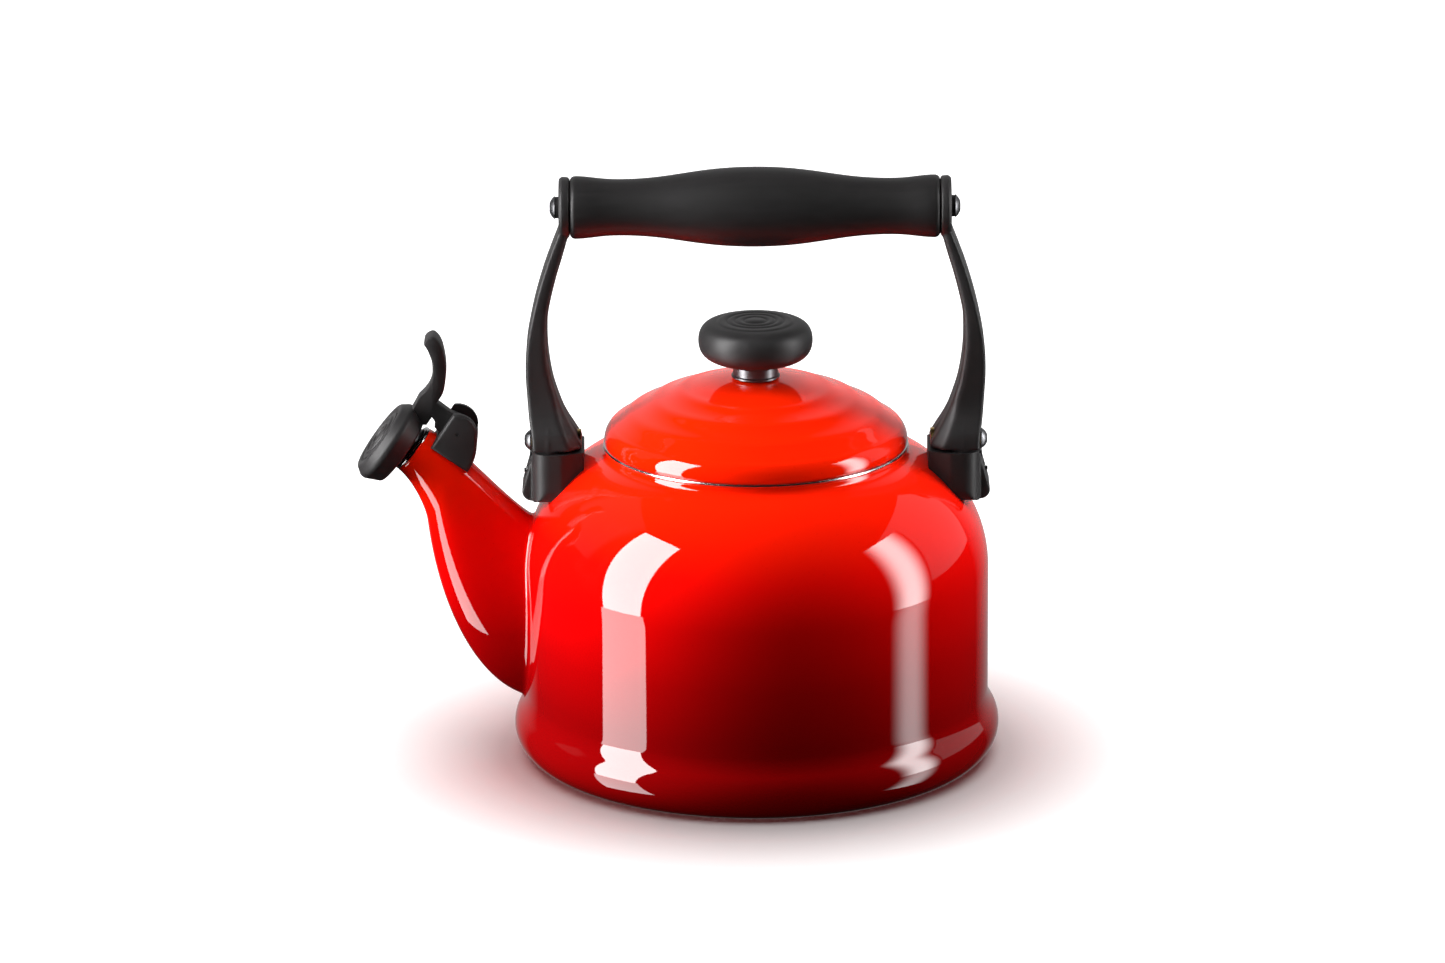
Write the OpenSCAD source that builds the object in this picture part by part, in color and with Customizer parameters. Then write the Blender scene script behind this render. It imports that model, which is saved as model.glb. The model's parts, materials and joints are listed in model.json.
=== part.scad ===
// Stovetop whistling kettle. Millimetres, +Z up, spout towards -X, handle
// along X. The origin is the centre of the base where it meets the hob.

/* [Body] */
// Outer radius of the straight side of the body
body_r = 95.5; // [85:0.5:115]
// Outer radius of the rounded bead around the base
base_r = 100; // [95:0.5:120]
// Radius of the bead's own round section
bead_r = 13; // [10:0.5:14]
// Height where the straight side ends and the shoulder starts
side_top = 79.3; // [65:0.5:96]
// Radius of the shoulder's curve
shoulder_r = 52.9; // [44:0.5:60]
// Thickness of the enamelled steel
wall = 1.5; // [1:0.1:2.2]
// Radius of the filling opening's steel rim
neck_r = 62; // [52:0.5:68]

/* [Lid] */
// Height of the lid's dome above its rim
lid_rise = 27.6; // [20:0.5:34]
// Sphere radius of the lid's dome
lid_dome_r = 98; // [85:1:130]
// Depth of the skirt that locates the lid in the opening
skirt_depth = 10; // [6:0.5:14]
// Radius of the lid knob
knob_r = 23.4; // [16:0.2:26]
// Height of the lid knob
knob_h = 18; // [15:0.5:21]
// Height of the ferrule between lid and knob
ferrule_h = 6.2; // [4:0.2:9]

/* [Handle] */
// Height of the grip's axis above the handle's hinge axis
grip_lift = 98.6; // [88:0.5:120]
// Half of the grip's length, between the arms
grip_half = 75.3; // [64:0.5:86]
// Radius at the middle of the grip
grip_mid_r = 16.3; // [13:0.1:18]
// Radius at the grip's narrow necks
grip_neck_r = 11.5; // [10.5:0.1:13]
// Thickness of each arm's tab beside the grip
tab_t = 4.5; // [3:0.5:6]
// Radius of the rounded hub at the foot of each arm
hub_r = 15; // [13:0.5:16]
// Diameter of each hinge screw's plain shank
pivot_d = 6; // [4:0.5:7]

/* [Spout] */
// How far the centre of the spout's mouth stands out from the body's side
mouth_reach = 44.5; // [36:0.5:56]
// Radius of the spout's mouth
mouth_r = 10.5; // [9:0.25:13]
// Half width of the spout where it joins the body
root_w = 19.5; // [15:0.5:24]
// Angle of the mouth's axis above the horizontal
mouth_tilt = 40; // [34:1:46]

/* [Whistle] */
// Radius of the whistle cap
cap_r = 18; // [16.5:0.25:19]
// Thickness of the whistle cap
cap_t = 12.6; // [10.5:0.1:14]
// Angle of the cap's axis above the horizontal
cap_tilt = 37; // [34:1:40]
// Height of the thumb lever above the cap's hinge pin
lever_h = 40.5; // [30:0.5:50]
// Diameter of the whistle's hinge pin
pin_d = 3; // [2.5:0.25:3.5]

/* [Fits] */
// Radial clearance of a turning fit
run_gap = 0.05; // [0.02:0.01:0.1]
// Clearance between surfaces that pass each other
free_gap = 0.35; // [0.3:0.05:0.6]

/* [Hidden] */
$fn = 64;

enamel = [0.82, 0.02, 0.01];
phenolic = [0.16, 0.16, 0.17];
steel = [0.75, 0.75, 0.77];
dark_steel = [0.35, 0.35, 0.36];
brass = [0.78, 0.62, 0.3];

// Body outline: a bead, a concave fillet, a straight side and the shoulder
bead_c = base_r - bead_r;
bead_z = bead_r - 0.6;
fillet_r = 14;
fillet_c = body_r + fillet_r;
fillet_z = bead_z + sqrt(pow(bead_r + fillet_r, 2) - pow(fillet_c - bead_c, 2));
shoulder_c = body_r - shoulder_r;
collar_r = neck_r + 0.4;
collar_fillet = 3;
collar_z = shoulder_z(neck_r + 2.4);
collar_top = collar_z + 3.4;
rim_bead = 0.7;
rim_top = collar_top + 2 * rim_bead;
neck_in = neck_r - 4.2;
plate_r = bead_c - 4;

function shoulder_z(r) = side_top + sqrt(pow(shoulder_r, 2) - pow(r - shoulder_c, 2));
function body_outer(z) =
  z < fillet_z ? fillet_c - sqrt(pow(fillet_r, 2) - pow(fillet_z - z, 2)) :
  z < side_top ? body_r :
  shoulder_c + sqrt(pow(shoulder_r, 2) - pow(z - side_top, 2));

// Points along an arc in a flat outline
function arc(c, r, a0, a1, n) =
  [for (i = [0:n]) let (a = a0 + (a1 - a0) * i / n) c + r * [cos(a), sin(a)]];
function bezier(p, t) =
  pow(1 - t, 3) * p[0] + 3 * t * pow(1 - t, 2) * p[1] + 3 * t * t * (1 - t) * p[2]
  + pow(t, 3) * p[3];
function curve(p, n) = [for (i = [0:n]) bezier(p, i / n)];
function mix(a, b, t) = a + (b - a) * t;

// A solid whose flat outline is in X and Z, with the given depth in Y
module slab(depth) {
  rotate([90, 0, 0]) linear_extrude(depth, center = true) children();
}

// A solid whose flat outline is in Y and Z, from x = a to x = b
module cross_slab(a, b) {
  translate([a, 0, 0]) rotate([90, 0, 90]) linear_extrude(b - a) children();
}

// A round bar or hole along X, from x = a to x = b
module bar_x(a, b, r) {
  translate([min(a, b), 0, 0]) rotate([0, 90, 0]) cylinder(r = r, h = abs(b - a));
}

// Both sides of the kettle
module pair() {
  children();
  mirror([1, 0, 0]) children();
}

module ring(r_in, r_out, z0, z1) {
  difference() {
    translate([0, 0, z0]) cylinder(r = r_out, h = z1 - z0);
    translate([0, 0, z0 - 1]) cylinder(r = r_in, h = z1 - z0 + 2);
  }
}

// ---------- body ----------

module body_outline(inset) {
  intersection() {
    translate([0, inset]) square([base_r + 5, side_top + shoulder_r]);
    union() {
      translate([bead_c, bead_z]) circle(bead_r - inset);
      square([bead_c, bead_z]);
      translate([0, bead_z]) square([body_r - inset, side_top - bead_z]);
      difference() {
        translate([bead_c, bead_z])
          square([fillet_c - bead_c - 0.2, fillet_z - bead_z]);
        translate([fillet_c, fillet_z]) circle(fillet_r + inset);
        fillet_shadow();
      }
      intersection() {
        translate([shoulder_c, side_top]) circle(shoulder_r - inset);
        translate([shoulder_c, side_top]) square(shoulder_r);
      }
      translate([0, side_top]) square([shoulder_c, shoulder_r - inset]);
    }
  }
}

// The part of the fillet's square that lies outside the bead
module fillet_shadow() {
  n = (fillet_c - bead_c) / (fillet_z - bead_z);
  polygon([[bead_c, bead_z], [bead_c + n * 40, bead_z + 40], [bead_c + n * 40, bead_z]]);
}

module body_solid() {
  rotate_extrude() body_outline(0);
}

// The short upright collar around the filling opening, with its fillet
module collar_outline() {
  translate([collar_r - wall, collar_z - 1.5]) square([wall, collar_top - collar_z + 1.5]);
  difference() {
    translate([collar_r - 0.1, collar_z - 1.5]) square([collar_fillet, collar_fillet + 0.4]);
    translate([collar_r + collar_fillet, collar_z - 1.1 + collar_fillet])
      circle(collar_fillet);
  }
}

spout_slot_w = 12;
slot_low = 38;
slot_high = 88;

module body_shell() {
  color(enamel) difference() {
    rotate_extrude() {
      difference() {
        body_outline(0);
        body_outline(wall);
        square([plate_r, wall * 2]);
        square([collar_r - wall, side_top + shoulder_r]);
      }
      collar_outline();
    }
    for (z = [slot_low, slot_high])
      translate([0, 0, z]) bar_x(-base_r, -body_r / 2, spout_slot_w);
    translate([-base_r, -spout_slot_w, slot_low])
      cube([base_r - body_r / 2, 2 * spout_slot_w, slot_high - slot_low]);
  }
}

module base_plate() {
  color(enamel) cylinder(r = plate_r, h = wall);
}

// Stainless rim: a bead on the collar's edge and a neck tube inside it
module fill_rim() {
  color(steel) rotate_extrude() {
    translate([neck_in, collar_z - 9]) square([1, rim_top - collar_z + 9]);
    translate([neck_in, rim_top - 0.8]) square([neck_r - neck_in - 0.4, 0.8]);
    translate([collar_r - 0.5, collar_top + rim_bead]) circle(rim_bead, $fn = 24);
    translate([collar_r - 1.2, collar_top]) square([0.8, rim_top - collar_top - 0.1]);
  }
}

// ---------- spout ----------

mouth = [-(body_r + mouth_reach), collar_z + 1.9];
mouth_dir = [-cos(mouth_tilt), sin(mouth_tilt)];
mouth_up = [sin(mouth_tilt), cos(mouth_tilt)];
root_low = 24.5;
root_top = side_top + 20.5;
spout_wall = 1.3;
spout_rings = 18;
spout_sides = 32;

lip_low = mouth - mouth_r * mouth_up;
lip_top = mouth + mouth_r * mouth_up;
throat = [lip_low[0] + 11.6, lip_low[1] - 21.2];
low_bow = [[-body_r + 6, root_low - 2], [-body_r - 17.5, root_low - 0.5],
  [throat[0] + 4.6, throat[1] - 42], throat];
low_flare = [throat, throat + [-1.7, 8], lip_low - 6 * mouth_dir, lip_low];
top_line = [[-body_r + 5.5, root_top], [-body_r - 7.5, root_top + 7.5],
  lip_top - [16, 0] + [32, -10], lip_top];

function low_at(t) = t < 0.72 ? bezier(low_bow, t / 0.72) : bezier(low_flare, (t - 0.72) / 0.28);
function spout_width(t) = mix(mouth_r, root_w, pow(1 - t, 1.3));

// A ring of points around the spout at t, drawn in by the wall; the first
// ring lies on the body's side
function spout_ring_points(t, inset) =
  let (a = low_at(t), b = bezier(top_line, t), c = (a + b) / 2, h = norm(b - a) / 2,
    u = (b - a) / (2 * h), w = spout_width(t))
  [for (i = [0:spout_sides - 1])
    let (ang = 360 * i / spout_sides,
      k = (h - inset) * cos(ang), y = (w - inset) * sin(ang), p = c + k * u)
    t > 0 ? [p[0], y, p[1]] :
    let (z = mix(root_low, root_top, 0.5) + (root_top - root_low - 2 * inset) / 2 * cos(ang))
    [-sqrt(pow(body_outer(z), 2) - y * y), y, z]];

module spout() {
  n = spout_sides;
  m = spout_rings;
  shells = [for (s = [0, spout_wall]) for (j = [0:m]) spout_ring_points(j / m, s)];
  points = [for (r = shells) for (p = r) p];
  inner = (m + 1) * n;
  color(enamel) difference() {
    polyhedron(points, concat(
    [for (j = [0:m - 1]) for (i = [0:n - 1]) each quad(j * n + i, j * n + (i + 1) % n,
      (j + 1) * n + (i + 1) % n, (j + 1) * n + i)],
    [for (j = [0:m - 1]) for (i = [0:n - 1]) each quad(inner + j * n + (i + 1) % n,
      inner + j * n + i, inner + (j + 1) * n + i, inner + (j + 1) * n + (i + 1) % n)],
    [for (i = [0:n - 1]) each quad((i + 1) % n, i, inner + i, inner + (i + 1) % n)],
    [for (i = [0:n - 1]) each quad(m * n + i, m * n + (i + 1) % n,
      inner + m * n + (i + 1) % n, inner + m * n + i)]));
    bracket_hole();
  }
}

function quad(a, b, c, d) = [[a, b, c], [a, c, d]];

// Frame at the mouth: Z out of the mouth, X towards the hinge
module at_mouth() {
  translate([mouth[0], 0, mouth[1]]) rotate([0, mouth_tilt - 90, 0]) children();
}

module spout_ring() {
  color(steel) at_mouth() rotate_extrude() {
    translate([mouth_r - spout_wall - 0.8, -2]) square([0.7, 3]);
    translate([mouth_r - 0.9, 0]) {
      translate([-1.1, 0]) square([1.1, 1]);
      translate([0, 0.9]) circle(0.9, $fn = 24);
    }
  }
}

// ---------- handle mounts ----------

pivot_z = collar_z + 5.5;
hub_out = body_r - 4;
hub_in = body_r - 24;
hub_edge = 7;
lug_t = 2.4;
lug_x = hub_out - 13.9;
lug_w = 6.5;
foot_depth = 16.2;
seam_z = pivot_z - 2;

// Turned hub at the foot of each arm, grown by a gap to cut its cradle
module hub_solid(gap) {
  translate([0, 0, pivot_z]) rotate([0, 90, 0]) rotate_extrude() polygon(concat(
    [[0, hub_in - gap], [hub_r - 8 + gap, hub_in - gap], [hub_r - 4.9 + gap, hub_in + 5],
      [hub_r - 2.4 + gap, hub_out - 12]],
    [for (p = arc([hub_out - hub_edge, hub_r - hub_edge], hub_edge + gap, 90, 0, 7)) [p[1], p[0]]],
    [[0, hub_out + gap]]));
}

// Foot outline in X and Z, on the right-hand side
foot_nose = [hub_out + 1, pivot_z - 19.5];
foot_outline = concat(
  [[hub_in - 2.6, seam_z], [hub_out - 0.4, seam_z]],
  arc(foot_nose - [0.6, 0], 4, 14, -130, 8),
  [[hub_in - 2.6, pivot_z - 22]]);

module foot() {
  difference() {
    intersection() {
      slab(60) polygon(foot_outline);
      cross_slab(0, base_r + 10) foot_front();
      foot_plan();
    }
    body_solid();
    hub_solid(free_gap);
    lug_blank();
    translate([0, 0, foot_screw_z]) {
      bar_x(0, base_r + 20, 1.5);
      bar_x(leaf_x + leaf_t, base_r + 20, 3);
    }
    leaf();
  }
}

// Foot outline in Y and Z: widest at the seam, rounded below
module foot_front() {
  polygon(concat([[-foot_depth, seam_z + 1], [-foot_depth, seam_z - 6]],
    arc([0, seam_z - 8], foot_depth, 190, 350, 16), [[foot_depth, seam_z - 6], [foot_depth, seam_z + 1]]));
}

// Foot outline from above: narrower towards the lid, rounded at the outside
module foot_plan() {
  half = concat([[hub_in - 4, 10.5], [hub_out - 12, foot_depth]],
    arc([hub_out - hub_edge, foot_depth - hub_edge], hub_edge, 90, 0, 6),
    [[base_r + 10, foot_depth - hub_edge]]);
  linear_extrude(200) polygon(concat(half,
    [for (i = [len(half) - 1:-1:0]) [half[i][0], -half[i][1]]]));
}

// Steel lug welded to the shoulder, in the middle of the hub
module lug_blank() {
  translate([0, 0, pivot_z]) bar_x(lug_x, lug_x + lug_t, lug_w);
  translate([lug_x, -lug_w, side_top]) cube([lug_t, 2 * lug_w, pivot_z - side_top]);
}

module lug() {
  color(dark_steel) difference() {
    lug_blank();
    body_solid();
    translate([0, 0, pivot_z]) bar_x(0, base_r, pivot_d / 2);
  }
}

// Room for the lug inside the hub, over the whole swing of the handle
module lug_room() {
  r = lug_w + free_gap;
  half_swing = 55;
  edge = r * [cos(half_swing), sin(half_swing)];
  fall = tan(90 - half_swing) * 20;
  a = lug_x - free_gap;
  b = lug_x + lug_t + free_gap;
  translate([0, 0, pivot_z]) {
    bar_x(a, b, r);
    cross_slab(a, b) polygon([edge, edge + [20, -fall], [edge[0] + 20, -30],
      [-edge[0] - 20, -30], [-edge[0] - 20, edge[1] - fall], [-edge[0], edge[1]]]);
  }
}

module lug_left() mirror([1, 0, 0]) lug();
module lug_right() lug();
module foot_left() color(phenolic) mirror([1, 0, 0]) foot();
module foot_right() color(phenolic) foot();

// Spring leaf on each foot, which presses on the hub and holds the handle up
foot_screw_z = pivot_z - 12.7;
foot_screw_l = 1.7;
leaf_t = 0.9;
leaf_x = hub_out + free_gap;
leaf_top = pivot_z - 5;

module leaf() {
  translate([leaf_x, -3.5, foot_screw_z - 3.5])
    cube([leaf_t, 7, leaf_top - foot_screw_z + 3.5]);
}

module detent_springs() {
  color(dark_steel) pair() difference() {
    leaf();
    translate([0, 0, foot_screw_z]) bar_x(0, base_r + 20, 1.5);
  }
}

// A screw along X with a domed head, its head's seat at x = seat; its last
// stretch, of length tip, has the radius tip_r
module dome_screw(seat, length, r, head_r, head_h, tip = 0, tip_r = 0) {
  ball_r = (head_r * head_r + head_h * head_h) / (2 * head_h);
  end = seat - length;
  rotate([0, 90, 0]) rotate_extrude() polygon(concat(
    tip > 0 ? [[0, end], [tip_r, end], [tip_r, end + tip], [r, end + tip]] : [[0, end], [r, end]],
    [[r, seat]],
    arc([0, seat + head_h - ball_r], ball_r, acos(head_r / ball_r), 90, 6)));
}

module foot_screws() {
  color(steel) pair() translate([0, 0, foot_screw_z])
    dome_screw(leaf_x + leaf_t, foot_screw_l, 1.5, 2.2, 1.3);
}

module pivot_screws() {
  color(steel) pair() translate([0, 0, pivot_z]) {
    dome_screw(hub_out + 1, hub_out + 1 - hub_in, pivot_d / 2, 4.2, 2.6);
  }
}

module pivot_washers() {
  color(dark_steel) pair() translate([0, 0, pivot_z]) difference() {
    bar_x(hub_out + free_gap, hub_out + 1, 4.4);
    bar_x(0, base_r, pivot_d / 2);
  }
}

// ---------- handle ----------

grip_z = pivot_z + grip_lift;
grip_end_r = 12.8;
tab_out = grip_half + tab_t;
arm_out = body_r - 1.6;
bush_wall = 1.5;

// Arm in X and Z, on the right-hand side: out from the tab, down to the hub
arm_top = [tab_out - 0.6, grip_z - 8];
arm_outer = concat(
  curve([arm_top, arm_top + [1.6, -16], [arm_out - 1.6, pivot_z + 52], [arm_out, pivot_z + 32]], 10),
  curve([[arm_out, pivot_z + 32], [arm_out + 0.2, pivot_z + 20], [hub_out + 0.6, pivot_z + 9],
    [hub_out, pivot_z]], 6));
arm_inner = concat(
  curve([[hub_in + 2, pivot_z], [hub_in + 4, pivot_z + 8], [arm_out - 11.5, pivot_z + 20],
    [arm_out - 9.3, pivot_z + 40]], 8),
  curve([[arm_out - 9.3, pivot_z + 40], [arm_out - 8.2, pivot_z + 62], [grip_half + 2, grip_z - 24],
    [grip_half, grip_z - 8]], 10));

// Half depth of the arm in Y against height above the pivot
module arm_front() {
  side = curve([[6.8, pivot_z], [7.2, pivot_z + 24], [10.6, pivot_z + 40], [8.6, grip_z - 14]], 8);
  right = concat(side, [[8.4, grip_z]]);
  polygon(concat(right, [for (i = [len(right) - 1:-1:0]) [-right[i][0], right[i][1]]]));
}

module arm() {
  color(phenolic) difference() {
    union() {
      intersection() {
        slab(60) polygon(concat(arm_outer, arm_inner, [[grip_half, grip_z], [tab_out, grip_z]]));
        cross_slab(0, base_r + 20) arm_front();
      }
      hub_solid(0);
      translate([0, 0, grip_z]) bar_x(grip_half, tab_out, grip_end_r - 0.4);
    }
    lug_room();
    translate([0, 0, pivot_z]) {
      bar_x(0, base_r + 20, pivot_d / 2 + bush_wall);
      bar_x(hub_out, base_r + 20, 5.4);
    }
    translate([0, 0, grip_z]) bar_x(0, base_r + 20, 3);
  }
}

module arm_left() mirror([1, 0, 0]) arm();
module arm_right() arm();

module pivot_bushes() {
  color(brass) pair() translate([0, 0, pivot_z]) difference() {
    union() {
      bar_x(hub_in, lug_x - free_gap, pivot_d / 2 + bush_wall);
      bar_x(lug_x + lug_t + free_gap, hub_out, pivot_d / 2 + bush_wall);
    }
    bar_x(0, base_r + 20, pivot_d / 2 + run_gap);
  }
}

insert_l = 20;

// Turned grip: a swelling middle, narrower necks and flared, rounded ends
module grip() {
  neck_x = grip_half - 20;
  half = concat(
    curve([[0, grip_mid_r], [neck_x * 0.45, grip_mid_r], [neck_x * 0.6, grip_neck_r],
      [neck_x, grip_neck_r]], 10),
    curve([[neck_x, grip_neck_r], [neck_x + 8, grip_neck_r], [grip_half - 8, grip_end_r],
      [grip_half - 3, grip_end_r]], 5),
    arc([grip_half - 3, grip_end_r - 3], 3, 80, 0, 4));
  left = [for (i = [len(half) - 1:-1:1]) [-half[i][0], half[i][1]]];
  outline = concat([[-grip_half, 0]], left, half, [[grip_half, 0]]);
  color(phenolic) translate([0, 0, grip_z]) difference() {
    rotate([0, 90, 0]) rotate_extrude() polygon([for (p = outline) [p[1], p[0]]]);
    pair() bar_x(grip_half - insert_l, grip_half + 1, 4.5);
  }
}

module grip_inserts() {
  color(brass) pair() translate([0, 0, grip_z]) difference() {
    bar_x(grip_half - insert_l, grip_half, 4.5);
    bar_x(grip_half - insert_l + 2, grip_half + 1, 3);
  }
}

spacer_t = 1.6;

module grip_washers() {
  color(phenolic) pair() translate([0, 0, grip_z]) difference() {
    bar_x(tab_out, tab_out + spacer_t, 4.4);
    bar_x(0, base_r + 20, 3);
  }
}

module grip_screws() {
  color(steel) pair() translate([0, 0, grip_z])
    dome_screw(tab_out + spacer_t, tab_t + spacer_t + insert_l - 3, 3, 4.8, 2.4);
}

// ---------- lid ----------

lid_r = neck_r + 0.2;
lid_z = rim_top + 0.1;
lid_top = lid_z + lid_rise;
dome_c = lid_top - lid_dome_r;
lid_corner = 5;
lid_bore = 2.8;

// Outer outline of the lid, drawn in by an inset
function lid_outline(inset) =
  let (r = lid_dome_r - inset, x = lid_r - lid_corner,
    zc = dome_c + sqrt(pow(lid_dome_r - lid_corner, 2) - x * x), a = atan2(zc - dome_c, x))
  concat([[0, dome_c + r]], [for (i = [1:12]) let (b = 90 - (90 - a) * i / 12)
    [r * cos(b), dome_c + r * sin(b)]],
    arc([x, zc], lid_corner - inset, a - 8, 0, 5));

module lid_shell() {
  color(enamel) rotate_extrude() difference() {
    polygon(concat(lid_outline(0), [[lid_r, lid_z], [0, lid_z]]));
    polygon(concat(lid_outline(wall), [[lid_r - wall, lid_z - 1], [0, lid_z - 1]]));
    square([lid_bore, lid_top + 10]);
  }
}

// Skirt under the lid, with the flange that joins it to the lid's side
module lid_skirt() {
  skirt_r = neck_in - 0.9;
  color(enamel) rotate_extrude() {
    translate([skirt_r - 1, lid_z - skirt_depth]) square([1, skirt_depth + 1]);
    translate([skirt_r - 1, lid_z]) square([lid_r - wall - skirt_r + 1, 1]);
  }
}

ferrule_z = lid_top - 0.4;
knob_z = ferrule_z + ferrule_h;
insert_r = 4.2;
screw_r = 2.5;

module knob_ferrule() {
  color(dark_steel) difference() {
    union() {
      translate([0, 0, ferrule_z]) cylinder(r = 9.25, h = ferrule_h - 1);
      translate([0, 0, knob_z - 1]) cylinder(r = 8, h = 1);
    }
    translate([0, 0, ferrule_z - 1]) cylinder(r = lid_bore, h = ferrule_h + 2);
    translate([0, 0, dome_c]) sphere(lid_dome_r);
  }
}

// Turned knob: a flat underside, a full round edge and a shallow crown
module knob() {
  wide_z = knob_z + knob_h * 0.52;
  outline = concat([[0, knob_z]],
    curve([[knob_r * 0.5, knob_z], [knob_r * 0.85, knob_z + 0.6], [knob_r, knob_z + knob_h * 0.25],
      [knob_r, wide_z]], 7),
    curve([[knob_r, wide_z], [knob_r, knob_z + knob_h * 0.82], [knob_r * 0.85, knob_z + knob_h * 0.95],
      [knob_r * 0.6, knob_z + knob_h * 0.98]], 7),
    [[0, knob_z + knob_h]]);
  color(phenolic) difference() {
    rotate_extrude() polygon(outline);
    translate([0, 0, knob_z - 1]) cylinder(r = insert_r, h = 12);
  }
}

module knob_insert() {
  color(brass) difference() {
    translate([0, 0, knob_z]) cylinder(r = insert_r, h = 11);
    translate([0, 0, knob_z - 1]) cylinder(r = screw_r, h = 10);
  }
}

washer_z = lid_top - wall - 1.2;

module knob_washer() {
  under = lid_dome_r - wall;
  top = [for (r = [7, screw_r]) [r, dome_c + sqrt(under * under - r * r) - 0.05]];
  color(steel) rotate_extrude() polygon(concat([[screw_r, washer_z], [7, washer_z]], top));
}

module knob_screw() {
  color(steel) {
    translate([0, 0, washer_z]) cylinder(r = screw_r, h = knob_z + 8 - washer_z);
    translate([0, 0, washer_z - 3]) cylinder(r = 4.5, h = 3);
  }
}

// ---------- whistle ----------

hinge = mouth + [17.8, 8.8];
bracket_r = 8.3;
tongue_w = 6;
spring_w = 3;
cheek_in = tongue_w / 2 + spring_w + 0.5;
bracket_w = 2 * (cheek_in + 3);

// Whistle parts seat a little way off the mouth
cap_gap = 2.5;

module whistle_bracket() {
  foot_at = hinge + [4, -16.5];
  color(phenolic) difference() {
    slab(bracket_w) polygon(concat(
      arc(hinge, bracket_r, 100, -12, 10),
      [hinge + [7.6, -11], foot_at, hinge + [-11, -6]]));
    bracket_slot();
    translate([hinge[0], 0, hinge[1]]) rotate([90, 0, 0])
      cylinder(r = pin_d / 2, h = 40, center = true);
    spout_back();
    bracket_hole();
  }
}

// The gap for the cap's tongue, open to the front and above
module bracket_slot() {
  slab(2 * cheek_in) polygon(concat(
    arc(hinge, slot_r, slot_turn - slot_step, slot_turn + slot_step, 2),
    [hinge + [20, 6], hinge + [20, 20], hinge + [-20, 20], hinge + [-20, 2]]));
}

// Many-sided bars that follow the top of the spout below the bracket
module spout_back() {
  for (t = [0.58, 0.72, 0.86]) {
    low = bezier(top_line, t);
    high = bezier(top_line, t + 0.14);
    turn = atan2(high[0] - low[0], high[1] - low[1]);
    reach = norm(high - low);
    translate([high[0], 0, high[1]]) rotate([0, turn, 0])
      translate([-mouth_r, 0, -reach]) linear_extrude(height = reach + 2)
        polygon(arc([0, 0], mouth_r + back_clear, 0, 345, 23));
  }
}

back_clear = 0.2;
slot_r = 5.6;
slot_turn = 258;
slot_step = 52;
screw_turn = 270 + slot_step / 2 - slot_turn;
screw_at = hinge - slot_r * cos(slot_step / 2) * [sin(screw_turn), cos(screw_turn)];

module at_screw() {
  translate([screw_at[0], 0, screw_at[1]]) rotate([0, screw_turn, 0]) children();
}

module bracket_hole() {
  at_screw() translate([0, 0, -4]) cylinder(r = 1.5, h = 4.5);
}

module bracket_screw() {
  color(steel) at_screw() {
    translate([0, 0, -2.4]) cylinder(r = 1.5, h = 2.5);
    cylinder(r = 2.2, h = 0.9);
  }
}

module hinge_pin() {
  color(steel) translate([hinge[0], 0, hinge[1]]) rotate([90, 0, 0])
    cylinder(r = pin_d / 2, h = bracket_w - 1, center = true);
}

wire_r = 0.4;

// Close-wound return spring around the pin, beside the tongue
module torsion_spring() {
  coil_r = pin_d / 2 + wire_r + 0.4;
  color(steel) translate([hinge[0], 0, hinge[1]]) for (side = [0, 180]) rotate([0, 0, side])
    translate([0, tongue_w / 2 + 0.7 + wire_r, 0]) rotate([-90, 0, 0]) rotate_extrude()
      for (i = [0:2]) translate([coil_r, i * 1.8 * wire_r]) circle(wire_r, $fn = 24);
}

cap_front = cap_gap + cap_t;
cap_drop = 3.7;
cup_r = 8.2;
chamber = 6.5;
badge_r = 11.5;

// Frame on the cap's axis, which sits a little below the mouth's
module at_cap() {
  translate([cap_centre[0], 0, cap_centre[1]]) rotate([0, cap_tilt - 90, 0]) children();
}

cap_up = [sin(cap_tilt), cos(cap_tilt)];
cap_dir = [-cos(cap_tilt), sin(cap_tilt)];
cap_centre = mouth - cap_drop * cap_up;

// Cap, thumb lever and hinge tongue, moulded in one piece
module cap_housing() {
  color(phenolic) difference() {
    union() {
      at_cap() rotate_extrude() polygon(concat([[0, cap_gap + 0.7], [cap_r - 7, cap_gap + 0.7]],
        curve([[cap_r - 5.6, cap_gap + 0.9], [cap_r - 2, cap_gap + 2], [cap_r - 0.6, cap_gap + 5],
          [cap_r, cap_front - 4.4]], 6),
        arc([cap_r - 3, cap_front - 3], 3, 0, 80, 5), [[cap_r - 4, cap_front], [0, cap_front]]));
      slab(tongue_w) polygon(lever_outline);
      translate([hinge[0], 0, hinge[1]]) rotate([90, 0, 0])
        cylinder(r = 3.4, h = tongue_w, center = true);
    }
    translate([hinge[0], 0, hinge[1]]) rotate([90, 0, 0])
      cylinder(r = pin_d / 2 + run_gap, h = 40, center = true);
    at_mouth() translate([0, 0, -1]) cylinder(r = cup_r, h = cap_gap + 1 + chamber);
    at_cap() translate([0, 0, cap_front - 0.8]) cylinder(r = badge_r, h = 2);
    at_cap() translate([0, 0, cap_gap + 5]) rotate([0, -90, 0]) cylinder(r = 1.5, h = cap_r + 5);
  }
}

lever_tip = hinge + [-8.4, lever_h - 1.6];
cap_crown = cap_centre + (cap_front - 3.4) * cap_dir + (cap_r - 1) * cap_up;
cap_back = cap_centre + (cap_gap + 4.5) * cap_dir + (cap_r - 2.5) * cap_up;

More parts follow.
